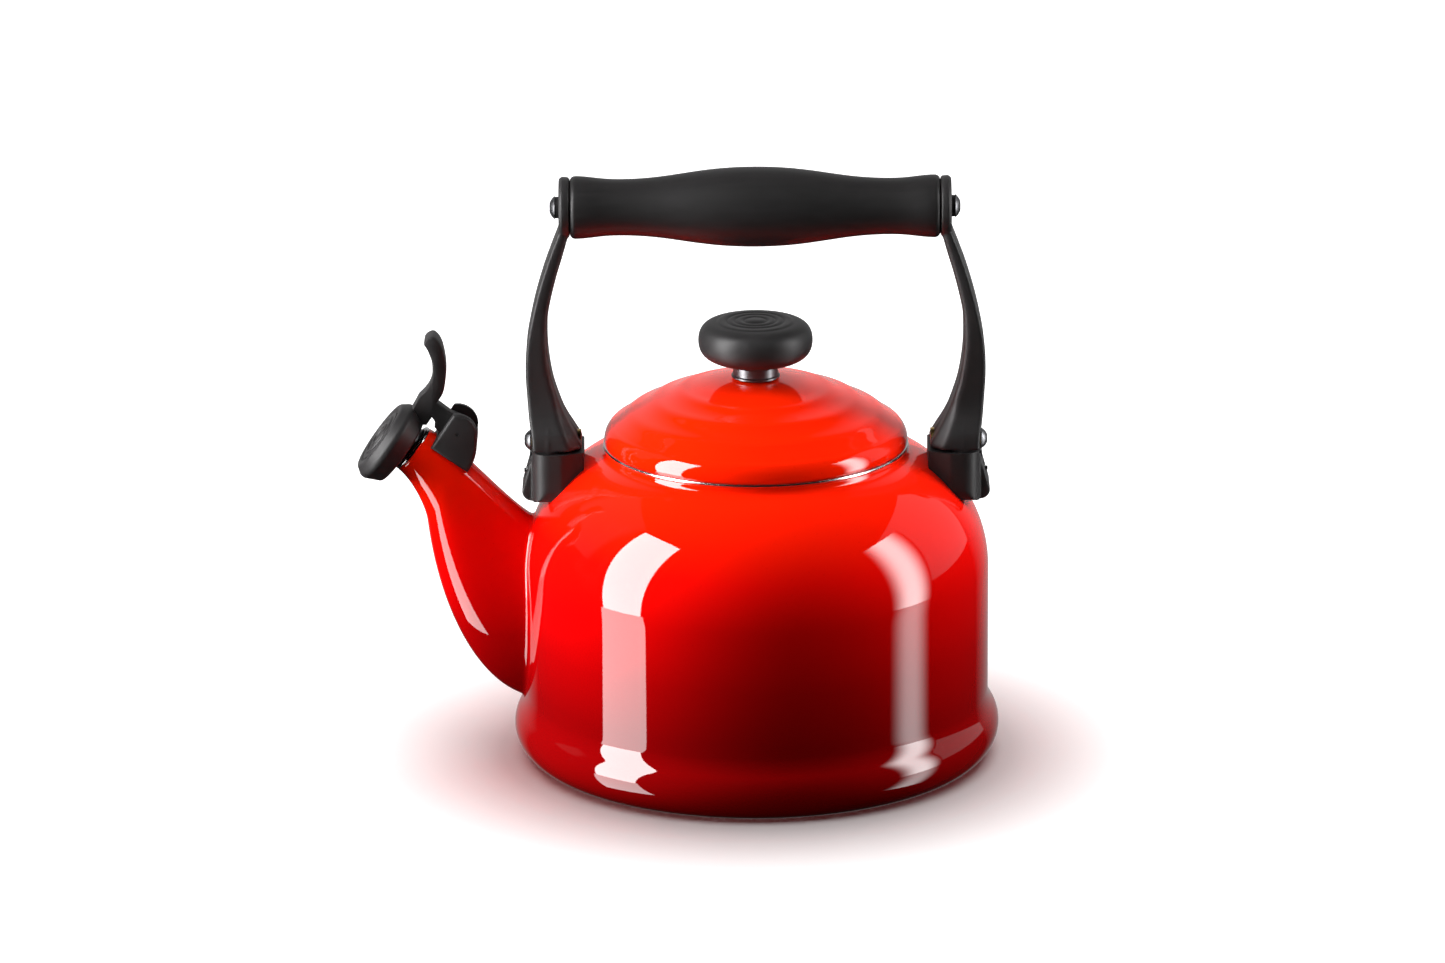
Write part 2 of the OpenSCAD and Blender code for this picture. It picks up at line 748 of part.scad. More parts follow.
lever_outline = concat(
  curve([hinge + [3.2, 1.8], hinge + [1, 8], hinge + [-6.5, 10], hinge + [-5.4, 20]], 6),
  curve([hinge + [-5.4, 20], hinge + [-4, 28], hinge + [-5, lever_h - 4], lever_tip + [2.4, 0.6]], 6),
  arc(lever_tip - [0.4, 1.4], 2.6, 50, 200, 6),
  curve([lever_tip + [-1.9, -4], hinge + [-8.6, 29], hinge + [-8.8, 20], hinge + [-12, 17.6]], 6),
  [cap_crown, cap_back, hinge + [-11.3, 6.4], hinge + [-8.3, 5.4], hinge + [-3.4, -1.2], hinge]);

// Raised rings on the cap's face
module cap_badge() {
  color(phenolic) at_cap() {
    translate([0, 0, cap_front - 0.8]) cylinder(r = badge_r, h = 1.4);
    for (r = [4, 8]) ring(r, r + 1.2, cap_front + 0.6, cap_front + 1);
  }
}

// Steel cup that holds the whistle's two discs and covers the mouth just above its lip
lip_top_gap = 2;

module whistle_cup() {
  color(steel) at_mouth() rotate_extrude() {
    polygon([[cup_r - 1.6, lip_top_gap], [cup_r - 0.4, lip_top_gap], [cup_r, lip_top_gap + 0.6],
      [cup_r, cap_gap + chamber], [cup_r - 0.8, cap_gap + chamber], [cup_r - 1, lip_top_gap + 0.6]]);
  }
}

module disc_with_hole(z) {
  color(steel) at_mouth() difference() {
    translate([0, 0, z]) cylinder(r = cup_r - 1, h = 0.6);
    translate([0, 0, z - 1]) cylinder(r = 1.4, h = 3);
  }
}

module whistle_front_disc() disc_with_hole(cap_gap + 3.8);
module whistle_rear_disc() disc_with_hole(cap_gap + 1.2);

body_shell();
base_plate();
fill_rim();
spout();
spout_ring();
lug_left();
lug_right();
foot_left();
foot_right();
foot_screws();
detent_springs();
pivot_screws();
pivot_washers();
whistle_bracket();
bracket_screw();
hinge_pin();
torsion_spring();
grip();
arm_left();
arm_right();
grip_screws();
grip_washers();
grip_inserts();
pivot_bushes();
lid_shell();
lid_skirt();
knob();
knob_ferrule();
knob_insert();
knob_screw();
knob_washer();
cap_housing();
cap_badge();
whistle_cup();
whistle_front_disc();
whistle_rear_disc();
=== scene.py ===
"""Stovetop whistling kettle: enamelled steel body, lid and spout, moulded handle,
knob and whistle cap. Sizes are in millimetres until a piece is finished."""

import json
from math import acos, atan2, cos, degrees, exp, hypot, pi, radians, sin, sqrt, tan

import bmesh
import bpy
from mathutils import Matrix, Vector


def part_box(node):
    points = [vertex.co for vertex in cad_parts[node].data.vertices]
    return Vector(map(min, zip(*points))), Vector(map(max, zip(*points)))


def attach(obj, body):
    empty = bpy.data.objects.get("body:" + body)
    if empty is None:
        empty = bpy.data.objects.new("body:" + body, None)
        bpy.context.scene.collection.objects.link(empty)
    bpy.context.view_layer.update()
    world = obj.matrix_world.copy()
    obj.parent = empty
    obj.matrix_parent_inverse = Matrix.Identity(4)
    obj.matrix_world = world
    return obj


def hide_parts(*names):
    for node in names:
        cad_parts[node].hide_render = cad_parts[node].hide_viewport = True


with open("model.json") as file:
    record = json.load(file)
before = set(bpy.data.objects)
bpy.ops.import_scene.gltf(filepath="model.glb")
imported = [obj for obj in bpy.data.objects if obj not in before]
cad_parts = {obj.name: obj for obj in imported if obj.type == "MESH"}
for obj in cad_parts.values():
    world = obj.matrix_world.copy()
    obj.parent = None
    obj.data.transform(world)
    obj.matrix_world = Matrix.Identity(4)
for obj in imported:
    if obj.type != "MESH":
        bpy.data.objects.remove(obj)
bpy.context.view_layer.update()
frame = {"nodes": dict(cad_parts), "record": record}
MM = 0.001


def span(node):
    """Lowest and highest corner of a CAD node, in millimetres."""
    low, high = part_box(node)
    return low / MM, high / MM


def middle(node):
    low, high = span(node)
    return (low + high) / 2


# ---------- sizes taken from the frame ----------

BASE_R = span("body_shell")[1].x
COLLAR_TOP = span("body_shell")[1].z
PIVOT_Z = middle("pivot_screws").z
HUB_IN = -span("pivot_bushes")[0].x - 20
HUB_OUT = span("pivot_bushes")[1].x
GRIP_Z = middle("grip").z
GRIP_HALF = span("grip")[1].x
GRIP_MID_R = span("grip")[1].y
HINGE = middle("hinge_pin")
LID_LOW, LID_HIGH = span("lid_shell")
KNOB_LOW, KNOB_HIGH = span("knob")
SKIRT_LOW, SKIRT_HIGH = span("lid_skirt")
RIM_LOW, RIM_HIGH = span("fill_rim")

# ---------- sizes of the enamelled body ----------

SIDE_R = BASE_R - 4.5
WALL = 1.5
BEAD_R = 13
BEAD_Z = BEAD_R - 0.6
BEAD_C = BASE_R - BEAD_R
FILLET_R = 14
FILLET_C = SIDE_R + FILLET_R
FILLET_Z = BEAD_Z + sqrt((BEAD_R + FILLET_R) ** 2 - (FILLET_C - BEAD_C) ** 2)
SIDE_TOP = 79.3
SHOULDER_R = 52.9
SHOULDER_C = SIDE_R - SHOULDER_R
COLLAR_R = RIM_HIGH.x - 0.2
COLLAR_FILLET = 3
PLATE_R = BEAD_C - 4
TUBE_IN = 4.6
GAP = 0.35

# ---------- sizes of the spout and whistle ----------

MOUTH = Vector((HINGE.x - 17.8, HINGE.z - 8.8))
MOUTH_TILT = 40
CAP_TILT = 37
MOUTH_R = 10.5
ROOT_W = 19.5
ROOT_LOW = 24.5
ROOT_TOP = SIDE_TOP + 20.5
SPOUT_WALL = 1.3


# ---------- outlines ----------


def mix(a, b, t):
    return a + (b - a) * t


def arc(x, z, r, start, end, steps):
    """Points on an arc, with its angles in degrees."""
    angles = [radians(mix(start, end, i / steps)) for i in range(steps + 1)]
    return [(x + r * cos(a), z + r * sin(a)) for a in angles]


def bezier(points, t):
    a, b, c, d = points
    s = 1 - t
    return s * s * s * a + 3 * s * s * t * b + 3 * s * t * t * c + t * t * t * d


def bend(points, steps):
    """A cubic curve through flat points given as pairs."""
    corners = [Vector(p) for p in points]
    return [tuple(bezier(corners, i / steps)) for i in range(steps + 1)]


def through(points, steps):
    """A smooth line through every one of the points."""
    ends = [Vector(points[0])] + [Vector(p) for p in points] + [Vector(points[-1])]
    line = []
    for a, b, c, d in zip(ends, ends[1:], ends[2:], ends[3:]):
        for i in range(steps):
            t = i / steps
            line.append(
                0.5
                * (
                    2 * b
                    + (c - a) * t
                    + (2 * a - 5 * b + 4 * c - d) * t * t
                    + (3 * b - a - 3 * c + d) * t * t * t
                )
            )
    return [tuple(p) for p in line] + [tuple(points[-1])]


def read_line(line, key):
    """The second value where the first one is key, on a line of rising pairs."""
    for (a, left), (b, right) in zip(line, line[1:]):
        if a <= key <= b:
            return mix(left, right, (key - a) / max(b - a, 1e-9))
    return line[0][1] if key < line[0][0] else line[-1][1]


# ---------- shaping ----------


def turned(profile, steps=192):
    """A turned shape from pairs of radius and height."""
    bm = bmesh.new()
    verts = [bm.verts.new((r, 0, z)) for r, z in profile]
    ends = verts[:1] if profile[0][0] > 0 else []
    edges = [bm.edges.new(pair) for pair in zip(verts, verts[1:] + ends)]
    bmesh.ops.spin(
        bm, geom=verts + edges, axis=(0, 0, 1), angle=2 * pi, steps=steps, use_merge=True
    )
    bmesh.ops.remove_doubles(bm, verts=bm.verts, dist=0.0005)
    bmesh.ops.recalc_face_normals(bm, faces=bm.faces)
    return bm


def swept(stations, sides, closed=False):
    """Rings joined one after the other. A station gives a point for an angle."""
    bm = bmesh.new()
    turn = bm.verts.layers.float.new("turn")
    ring = bmesh.ops.create_circle(bm, segments=sides, radius=1)["verts"]
    for i, v in enumerate(ring):
        v[turn] = 2 * pi * i / sides
    edges = list({e for v in ring for e in v.link_edges})
    first = edges
    for i, station in enumerate(stations):
        if i:
            made = bmesh.ops.extrude_edge_only(bm, edges=edges)["geom"]
            ring = [g for g in made if isinstance(g, bmesh.types.BMVert)]
            inside = set(ring)
            edges = [
                g
                for g in made
                if isinstance(g, bmesh.types.BMEdge) and inside.issuperset(g.verts)
            ]
        for v in ring:
            v.co = station(v[turn])
    if closed:
        bmesh.ops.bridge_loops(bm, edges=first + edges)
    else:
        bmesh.ops.holes_fill(bm, edges=first + edges, sides=0)
    bmesh.ops.recalc_face_normals(bm, faces=bm.faces)
    return bm


def slab(outline, half):
    """A plate from an outline in X and Z, with half its thickness."""
    return prism([(x, -half, z) for x, z in outline], (0, 2 * half, 0))


def soften(bm, offset, segments=3):
    """Rounds the edges of a plate's two flat faces."""
    half = max(v.co.y for v in bm.verts)
    rims = [e for e in bm.edges if all(abs(abs(v.co.y) - half) < 0.01 for v in e.verts)]
    rims = [e for e in rims if e.verts[0].co.y * e.verts[1].co.y > 0]
    bmesh.ops.bevel(
        bm,
        geom=rims,
        affect="EDGES",
        offset=offset,
        segments=segments,
        profile=0.5,
        material=-1,
        clamp_overlap=True,
    )
    return bm


def prism(outline, direction):
    """A straight bar from an outline of points in space."""
    bm = bmesh.new()
    face = bm.faces.new([bm.verts.new(p) for p in outline])
    made = bmesh.ops.extrude_face_region(bm, geom=[face])["geom"]
    far = [g for g in made if isinstance(g, bmesh.types.BMVert)]
    bmesh.ops.translate(bm, verts=far, vec=direction)
    bmesh.ops.recalc_face_normals(bm, faces=bm.faces)
    return bm


def rod(start, end, r, steps=48):
    """A round bar between two points, for cutting or filling."""
    start, end = Vector(start), Vector(end)
    bm = bmesh.new()
    length = (end - start).length
    bmesh.ops.create_cone(
        bm, cap_ends=True, segments=steps, radius1=r, radius2=r, depth=length
    )
    turn = (end - start).to_track_quat("Z", "Y").to_matrix().to_4x4()
    bm.transform(Matrix.Translation((start + end) / 2) @ turn)
    return bm


def joined(*shapes):
    """Several shapes in one, each still a closed shell."""
    whole = shapes[0]
    for shape in shapes[1:]:
        mesh = bpy.data.meshes.new("part")
        shape.to_mesh(mesh)
        shape.free()
        whole.from_mesh(mesh)
        bpy.data.meshes.remove(mesh)
    return whole


def in_scene(name, bm, finish=None):
    """An object in the scene, made from a shape."""
    mesh = bpy.data.meshes.new(name)
    bm.to_mesh(mesh)
    bm.free()
    if finish:
        mesh.materials.append(finish)
    obj = bpy.data.objects.new(name, mesh)
    bpy.context.scene.collection.objects.link(obj)
    return obj


def worked(bm, *steps):
    """The shape after its modifiers: each step is a kind and its settings, and a
    BOOLEAN step names its tool shape."""
    obj = in_scene("bench", bm)
    tools = []
    for kind, settings in steps:
        modifier = obj.modifiers.new(kind, kind)
        for key, value in settings.items():
            if key == "tool":
                tools.append(in_scene("bench", value))
                modifier.object = tools[-1]
            else:
                setattr(modifier, key, value)
    graph = bpy.context.evaluated_depsgraph_get()
    mesh = bpy.data.meshes.new_from_object(obj.evaluated_get(graph))
    done = bmesh.new()
    done.from_mesh(mesh)
    bpy.data.meshes.remove(mesh)
    for used in [obj, *tools]:
        shape = used.data
        bpy.data.objects.remove(used)
        bpy.data.meshes.remove(shape)
    return done


def moulded(bm, grain=0.45, passes=8):
    """Shells fused into one, with moulded edges."""
    return worked(
        bm,
        ("REMESH", {"mode": "VOXEL", "voxel_size": grain}),
        ("SMOOTH", {"factor": 0.5, "iterations": passes}),
    )


def combined(operation, bm, tools):
    """The shape after an exact Boolean with each tool in turn."""
    way = {"operation": operation, "solver": "EXACT"}
    return worked(bm, *[("BOOLEAN", {**way, "tool": tool}) for tool in tools])


def cut(bm, *tools):
    return combined("DIFFERENCE", bm, tools)


def fused(bm, *tools):
    return combined("UNION", bm, tools)


def kept(bm, *tools):
    """What the shape shares with every tool."""
    return combined("INTERSECT", bm, tools)


def mirrored(bm):
    """A copy on the other side of the kettle."""
    twin = bm.copy()
    bmesh.ops.scale(twin, verts=twin.verts, vec=(-1, 1, 1))
    bmesh.ops.reverse_faces(twin, faces=twin.faces)
    return twin


def placed(bm, matrix):
    bm.transform(matrix)
    return bm


def along_x(x, z):
    """Turns a shape's axis to point outwards at the right-hand side."""
    return Matrix.Translation((x, 0, z)) @ Matrix.Rotation(radians(90), 4, "Y")


def on_axis(centre, tilt):
    """Turns a shape's axis to point out of the spout."""
    place = Matrix.Translation((centre.x, 0, centre.y))
    return place @ Matrix.Rotation(radians(tilt - 90), 4, "Y")


def piece(name, bm, finish, slot, body, *nodes, crease=38):
    """Finishes a shape as a piece that rides on a body and stands for CAD nodes."""
    bmesh.ops.scale(bm, verts=bm.verts, vec=(MM, MM, MM))
    for face in bm.faces:
        face.smooth = True
    for edge in bm.edges:
        if len(edge.link_faces) == 2:
            edge.smooth = edge.calc_face_angle(0) < radians(crease)
    obj = in_scene(name, bm, finish)
    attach(obj, body)
    if nodes:
        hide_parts(*nodes)
    return obj


# ---------- finishes ----------


class Socket:
    """A value in a finish, which Python's operators turn into Math nodes."""

    def __init__(self, finish, socket):
        self.finish, self.socket = finish, socket

    def _math(self, operation, a, b):
        return self.finish.node("Math", {"operation": operation}, {0: a, 1: b})

    def __add__(self, other):
        return self._math("ADD", self, other)

    def __radd__(self, other):
        return self._math("ADD", other, self)

    def __sub__(self, other):
        return self._math("SUBTRACT", self, other)

    def __rsub__(self, other):
        return self._math("SUBTRACT", other, self)

    def __mul__(self, other):
        return self._math("MULTIPLY", self, other)

    def __rmul__(self, other):
        return self._math("MULTIPLY", other, self)


class Finish:
    """A material and the nodes that make it."""

    def __init__(self, name, tree=None):
        if tree is None:
            self.material = bpy.data.materials.new(name)
            self.material.use_nodes = True
            tree = self.material.node_tree
        self.tree = tree
        self.tree.nodes.clear()

    def node(self, kind, settings=None, inputs=None, output=0):
        made = self.tree.nodes.new("ShaderNode" + kind)
        for key, value in (settings or {}).items():
            if key == "stops":
                self._stops(made.color_ramp, value)
            else:
                setattr(made, key, value)
        for key, value in (inputs or {}).items():
            if isinstance(value, Socket):
                self.tree.links.new(value.socket, made.inputs[key])
            else:
                made.inputs[key].default_value = value
        return Socket(self, made.outputs[output])

    @staticmethod
    def _stops(ramp, stops):
        while len(ramp.elements) < len(stops):
            ramp.elements.new(1)
        for element, (position, colour) in zip(ramp.elements, stops):
            element.position = position
            element.color = (*colour, 1)

    def place(self, scale=(1, 1, 1)):
        """The piece's own coordinates, stretched by scale."""
        spot = self.node("TexCoord", output="Object")
        return self.node("Mapping", {}, {"Vector": spot, "Scale": scale})

    def noise(self, spot, scale, detail=3.0, roughness=0.5):
        values = {"Vector": spot, "Scale": scale, "Detail": detail, "Roughness": roughness}
        return self.node("TexNoise", {}, values, output="Fac")

    def blend(self, factor, a, b):
        """A colour between a and b."""
        return self.node(
            "Mix", {"data_type": "RGBA"}, {0: factor, 6: a, 7: b}, output=2
        )

    def bump(self, height, depth, strength=1.0):
        values = {"Height": height, "Distance": depth, "Strength": strength}
        return self.node("Bump", {}, values)

    def done(self, **inputs):
        """Ends the finish with a Principled shader."""
        named = {key.replace("_", " "): value for key, value in inputs.items()}
        shader = self.node("BsdfPrincipled", {}, named, output="BSDF")
        self.close_with(shader)
        return self.material

    def close_with(self, shader):
        end = self.tree.nodes.new("ShaderNodeOutputMaterial")
        self.tree.links.new(shader.socket, end.inputs["Surface"])


def graded_enamel_with_painted_shade():
    """Glossy enamel that runs from orange red at the top to deep cherry at the base: partly the enamel's
    own graded colour, partly painted shade that darkens the lower body.
    """
    f = Finish("shaded enamel")
    spot = f.place()
    height = f.node("SeparateXYZ", {}, {"Vector": spot}, output="Z")
    drift = f.noise(spot, 14.0, 2.0)
    level = (height + (drift - 0.5) * 0.010) * (1 / 0.16)
    # painted shade: this height ramp is partly the enamel's own gradient and partly a darkening of the
    # lower body where less light falls
    stops = [
        (0.00, (0.200, 0.0010, 0.0012)),
        (0.10, (0.170, 0.0006, 0.0010)),
        (0.20, (0.190, 0.0005, 0.0010)),
        (0.34, (0.300, 0.0005, 0.0010)),
        (0.48, (0.500, 0.0008, 0.0010)),
        (0.62, (0.680, 0.0020, 0.0008)),
        (0.78, (0.800, 0.0100, 0.0005)),
        (1.00, (0.830, 0.0150, 0.0005)),
    ]
    tone_and_painted_shade = f.node("ValToRGB", {"stops": stops}, {"Fac": level})
    speck = f.noise(spot, 900.0, 2.0)
    fleck = f.node("ValToRGB", {"stops": [(0.66, (0, 0, 0)), (0.80, (1, 1, 1))]}, {"Fac": speck})
    deep = f.blend(0.2, tone_and_painted_shade, (0.10, 0.0, 0.0, 1))
    colour = f.blend(fleck, tone_and_painted_shade, deep)
    return f.done(
        Base_Color=colour,
        Roughness=0.35 + speck * 0.2,
        Normal=f.bump(speck, 0.00001, 0.2),
        Specular_IOR_Level=0.0,
        Coat_Weight=1.0,
        Coat_Roughness=0.02,
        Coat_IOR=1.52,
    )


def moulded_phenolic():
    """Matte charcoal heat-proof plastic with a fine moulded grain."""
    f = Finish("charcoal phenolic")
    spot = f.place()
    cloud = f.noise(spot, 70.0, 4.0, 0.6)
    grain = f.noise(spot, 2400.0, 3.0, 0.6)
    colour = f.blend(cloud, (0.009, 0.0084, 0.0086, 1), (0.020, 0.0188, 0.0194, 1))
    return f.done(
        Base_Color=colour,
        Roughness=0.36 + cloud * 0.14 + grain * 0.08,
        Normal=f.bump(grain * 0.7 + cloud * 0.6, 0.00006, 0.5),
        Specular_IOR_Level=0.3,
    )


def moulded_grip():
    """The same plastic with the fine lengthwise polish of a turned grip."""
    f = Finish("polished phenolic")
    spot = f.place()
    streak = f.noise(f.place((0.05, 1, 1)), 900.0, 3.0, 0.6)
    cloud = f.noise(spot, 60.0, 4.0, 0.6)
    colour = f.blend(streak * 0.5 + cloud * 0.5, (0.005, 0.0047, 0.0048, 1), (0.014, 0.013, 0.0133, 1))
    return f.done(
        Base_Color=colour,
        Roughness=0.38 + streak * 0.16,
        Normal=f.bump(streak, 0.00005, 0.35),
        Specular_IOR_Level=0.3,
    )


def metal(name, light, dark, scale, rough, spread, depth):
    """Brushed metal: two shades, the stretch of its grain, its least roughness, how
    much the grain adds to that, and the grain's depth."""
    f = Finish(name)
    brush = f.noise(f.place(scale), 700.0, 4.0, 0.65)
    stain = f.noise(f.place(), 90.0, 3.0)
    return f.done(
        Base_Color=f.blend(stain, dark, light),
        Metallic=1.0,
        Roughness=rough + brush * spread,
        Normal=f.bump(brush, depth, 0.4),
    )


ENAMEL = graded_enamel_with_painted_shade()
PHENOLIC = moulded_phenolic()
GRIP = moulded_grip()
BRIGHT = metal(
    "bright steel", (0.78, 0.78, 0.79, 1), (0.62, 0.62, 0.63, 1), (1, 1, 9), 0.12, 0.14, 0.00002
)
DARK = metal(
    "dark steel", (0.20, 0.20, 0.21, 1), (0.11, 0.11, 0.115, 1), (1, 1, 6), 0.26, 0.20, 0.00003
)
BRASS = metal(
    "turned brass", (0.75, 0.53, 0.22, 1), (0.58, 0.38, 0.14, 1), (6, 1, 1), 0.22, 0.18, 0.00003
)


# ---------- body ----------


def side_radius(z):
    """Outer radius of the body at a height, above the bead."""
    if z < FILLET_Z:
        return FILLET_C - sqrt(FILLET_R**2 - (FILLET_Z - z) ** 2)
    if z < SIDE_TOP:
        return SIDE_R
    return SHOULDER_C + sqrt(max(SHOULDER_R**2 - (z - SIDE_TOP) ** 2, 0))


def shoulder_height(r):
    return SIDE_TOP + sqrt(SHOULDER_R**2 - (r - SHOULDER_C) ** 2)


def body_profile():
    """The body's section: up the outside, over the collar and down the inside."""
    rise = degrees(atan2(FILLET_Z - BEAD_Z, FILLET_C - BEAD_C))
    foot = -degrees(acos(3.9 / BEAD_R))
    neck = COLLAR_R + COLLAR_FILLET + 0.6
    lean = degrees(acos((neck - SHOULDER_C) / SHOULDER_R))
    neck_z = shoulder_height(neck)
    outside = arc(BEAD_C, BEAD_Z, BEAD_R, foot, rise, 26)
    outside += arc(FILLET_C, FILLET_Z, FILLET_R, 180 + rise, 180, 12)[1:]
    outside += [(SIDE_R, mix(FILLET_Z, SIDE_TOP, i / 16)) for i in range(1, 16)]
    outside += arc(SHOULDER_C, SIDE_TOP, SHOULDER_R, 0, lean, 36)
    turn = [(neck, neck_z), (neck - 2, neck_z + 0.9), (COLLAR_R, neck_z + 1.6), (COLLAR_R, neck_z + 3.2)]
    outside += bend(turn, 8)[1:]
    lip = [(COLLAR_R, COLLAR_TOP - 0.3), (COLLAR_R - 0.3, COLLAR_TOP)]
    lip += [(COLLAR_R - WALL + 0.3, COLLAR_TOP), (COLLAR_R - WALL, COLLAR_TOP - 0.3)]
    inside = [(COLLAR_R - WALL, neck_z)]
    inside += arc(SHOULDER_C, SIDE_TOP, SHOULDER_R - WALL, lean + 3, 0, 36)
    inside += [(SIDE_R - WALL, mix(SIDE_TOP, FILLET_Z, i / 16)) for i in range(1, 16)]
    inside += arc(FILLET_C, FILLET_Z, FILLET_R + WALL, 180, 180 + rise, 12)
    inside += arc(BEAD_C, BEAD_Z, BEAD_R - WALL, rise, -66, 22)[1:]
    inside += [(PLATE_R, WALL), (PLATE_R, 0), (BEAD_C + 3.2, 0)]
    return outside + lip + inside


def base_profile():
    """The base plate, with two shallow rings pressed in its underside."""
    under = [(0, 0.5)]
    for r in (24, 52):
        under += [(r - 3, 0.5), (r - 1.6, 0.15), (r + 1.6, 0.15), (r + 3, 0.5)]
    edge = PLATE_R - 0.05
    return under + [(PLATE_R - 4, 0.5), (PLATE_R - 2.4, 0.02), (edge, 0.02), (edge, WALL), (0, WALL)]


# ---------- spout ----------

mouth_out = Vector((-cos(radians(MOUTH_TILT)), sin(radians(MOUTH_TILT))))
mouth_up = Vector((sin(radians(MOUTH_TILT)), cos(radians(MOUTH_TILT))))
lip_low = MOUTH - MOUTH_R * mouth_up
lip_top = MOUTH + MOUTH_R * mouth_up
throat = lip_low + Vector((11.6, -21.2))
low_bow = [
    Vector((6 - SIDE_R, ROOT_LOW - 2)),
    Vector((-SIDE_R - 17.5, ROOT_LOW - 0.5)),
    throat + Vector((4.6, -42)),
    throat,
]
low_flare = [throat, throat + Vector((-1.7, 8)), lip_low - 6 * mouth_out, lip_low]
top_line = [
    Vector((5.5 - SIDE_R, ROOT_TOP)),
    Vector((-SIDE_R - 7.5, ROOT_TOP + 7.5)),
    lip_top + Vector((16, -10)),
    lip_top,
]
THROAT_AT = 0.72


def spout_point(t, angle, inset):
    """A point on the spout's wall, from its root at t = 0 to its mouth at t = 1."""
    if t < THROAT_AT:
        low = bezier(low_bow, t / THROAT_AT)
    else:
        low = bezier(low_flare, (t - THROAT_AT) / (1 - THROAT_AT))
    top = bezier(top_line, t)
    half = (top - low).length / 2
    up = (top - low).normalized()
    width = mix(MOUTH_R, ROOT_W, (1 - t) ** 1.3)
    flat = (low + top) / 2 + (half - inset) * cos(angle) * up
    return Vector((flat.x, (width - inset) * sin(angle), flat.y))


def clear_of_body(p):
    """How far a point lies outside the body."""
    return hypot(p.x, p.y) - side_radius(p.z)


def leaves_body(angle, inset, depth=0.0):
    """Where along the spout its wall comes out of the body's side."""
    low, high = 0.0, 0.5
    for _ in range(24):
        half = (low + high) / 2
        if clear_of_body(spout_point(half, angle, inset)) > -depth:
            high = half
        else:
            low = half
    return high


WELD = 2.4
WELD_STEP = 0.002


class Weld:
    """The rounded weld between body and spout at one angle around the spout."""

    def __init__(self, angle):
        start = leaves_body(angle, 0)
        corner = spout_point(start, angle, 0)
        away = Vector((0, corner.y, corner.z - (ROOT_LOW + ROOT_TOP) / 2)).normalized()
        foot = corner + WELD * away
        shrink = (side_radius(foot.z) - 0.25) / hypot(foot.x, foot.y)
        foot.x, foot.y = foot.x * shrink, foot.y * shrink
        self.end = start
        while (spout_point(self.end, angle, 0) - corner).length < WELD:
            self.end += WELD_STEP
        self.foot, self.corner = foot, corner
        self.edge = spout_point(self.end, angle, 0)

    def at(self, s):
        return (1 - s) ** 2 * self.foot + 2 * s * (1 - s) * self.corner + s * s * self.edge


def spout_shape(sides=112, outer=64, inner=40):
    """The spout: its weld, its outside, its mouth and back down the inside."""
    welds = {}

    def weld(angle):
        key = round(angle, 5)
        if key not in welds:
            welds[key] = (Weld(angle), leaves_body(angle, SPOUT_WALL, 0.6))
        return welds[key]

    def along_weld(s):
        return lambda angle: weld(angle)[0].at(s)

    def outside(s):
        return lambda angle: spout_point(mix(weld(angle)[0].end, 1, s), angle, 0)

    def rim(inset, out):
        step = Vector((mouth_out.x, 0, mouth_out.y)) * out
        return lambda angle: spout_point(1, angle, inset) + step

    def inside(s):
        return lambda angle: spout_point(mix(1, weld(angle)[1], s), angle, SPOUT_WALL)

    stations = [along_weld(i / 7) for i in range(8)]
    stations += [outside(i / outer) for i in range(1, outer + 1)]
    stations += [rim(0.3, 0.25), rim(SPOUT_WALL - 0.3, 0.25)]
    stations += [inside(i / inner) for i in range(inner + 1)]
    return swept(stations, sides, closed=True)


def spout_hole(sides=96):
    """The opening in the body behind the spout, as a tool."""

    def edge(x):
        def at(angle):
            p = spout_point(leaves_body(angle, SPOUT_WALL), angle, SPOUT_WALL)
            return Vector((x, p.y, p.z))

        return at

    return swept([edge(-SIDE_R + 25), edge(-SIDE_R - 12)], sides)


def body_pieces():
    shell = cut(turned(body_profile(), 240), spout_hole())
    piece("body_shell_enamel", shell, ENAMEL, "enamel", "kettle", "body_shell", crease=50)
    piece("base_plate_enamel", turned(base_profile(), 160), ENAMEL, "enamel", "kettle", "base_plate")
    piece("spout_enamel", spout_shape(), ENAMEL, "enamel", "kettle", "spout", crease=60)

    inner = RIM_LOW.z
    bead = arc(COLLAR_R - 0.5, COLLAR_TOP + 0.7, 0.7, -70, 90, 10)
    tube_r = COLLAR_R - TUBE_IN
    rim = [(tube_r, inner), (tube_r + 0.3, inner - 0.02), (tube_r + 1, inner)]
    ledge, lap = RIM_HIGH.z - 0.8, COLLAR_R - 1.2
    rim += [(tube_r + 1, ledge), (lap, ledge), (lap, COLLAR_TOP)]
    rim += bead + [(tube_r + 0.7, RIM_HIGH.z)]
    rim += arc(tube_r + 0.6, RIM_HIGH.z - 0.6, 0.6, 90, 180, 5)
    piece("filling_rim_steel", turned(rim, 240), BRIGHT, "stainless", "kettle", "fill_rim")

    lip = [(MOUTH_R - 2.1, -2)]
    lip += [(MOUTH_R - 1.45, -2), (MOUTH_R - 1.45, 0), (MOUTH_R - 0.9, 0)]
    lip += arc(MOUTH_R - 0.9, 0.9, 0.9, -80, 90, 10)
    lip += arc(MOUTH_R - 1.3, 1.0, 0.8, 90, 180, 6)
    steel_lip = placed(turned(lip, 96), on_axis(MOUTH, MOUTH_TILT))
    piece("spout_lip_steel", steel_lip, BRIGHT, "stainless", "kettle", "spout_ring")


# ---------- lid ----------

DOME_R = 98
DOME_C = LID_HIGH.z - DOME_R
LID_CORNER = 9
RIDGES = (30.5, 41, 51)
RIDGE_H = 0.5
RIDGE_W = 2.8
BORE = 2.8


def ridge(r):
    """How far the lid's three soft rings stand up at a radius."""
    return sum(RIDGE_H * exp(-(((r - at) / RIDGE_W) ** 2)) for at in RIDGES)


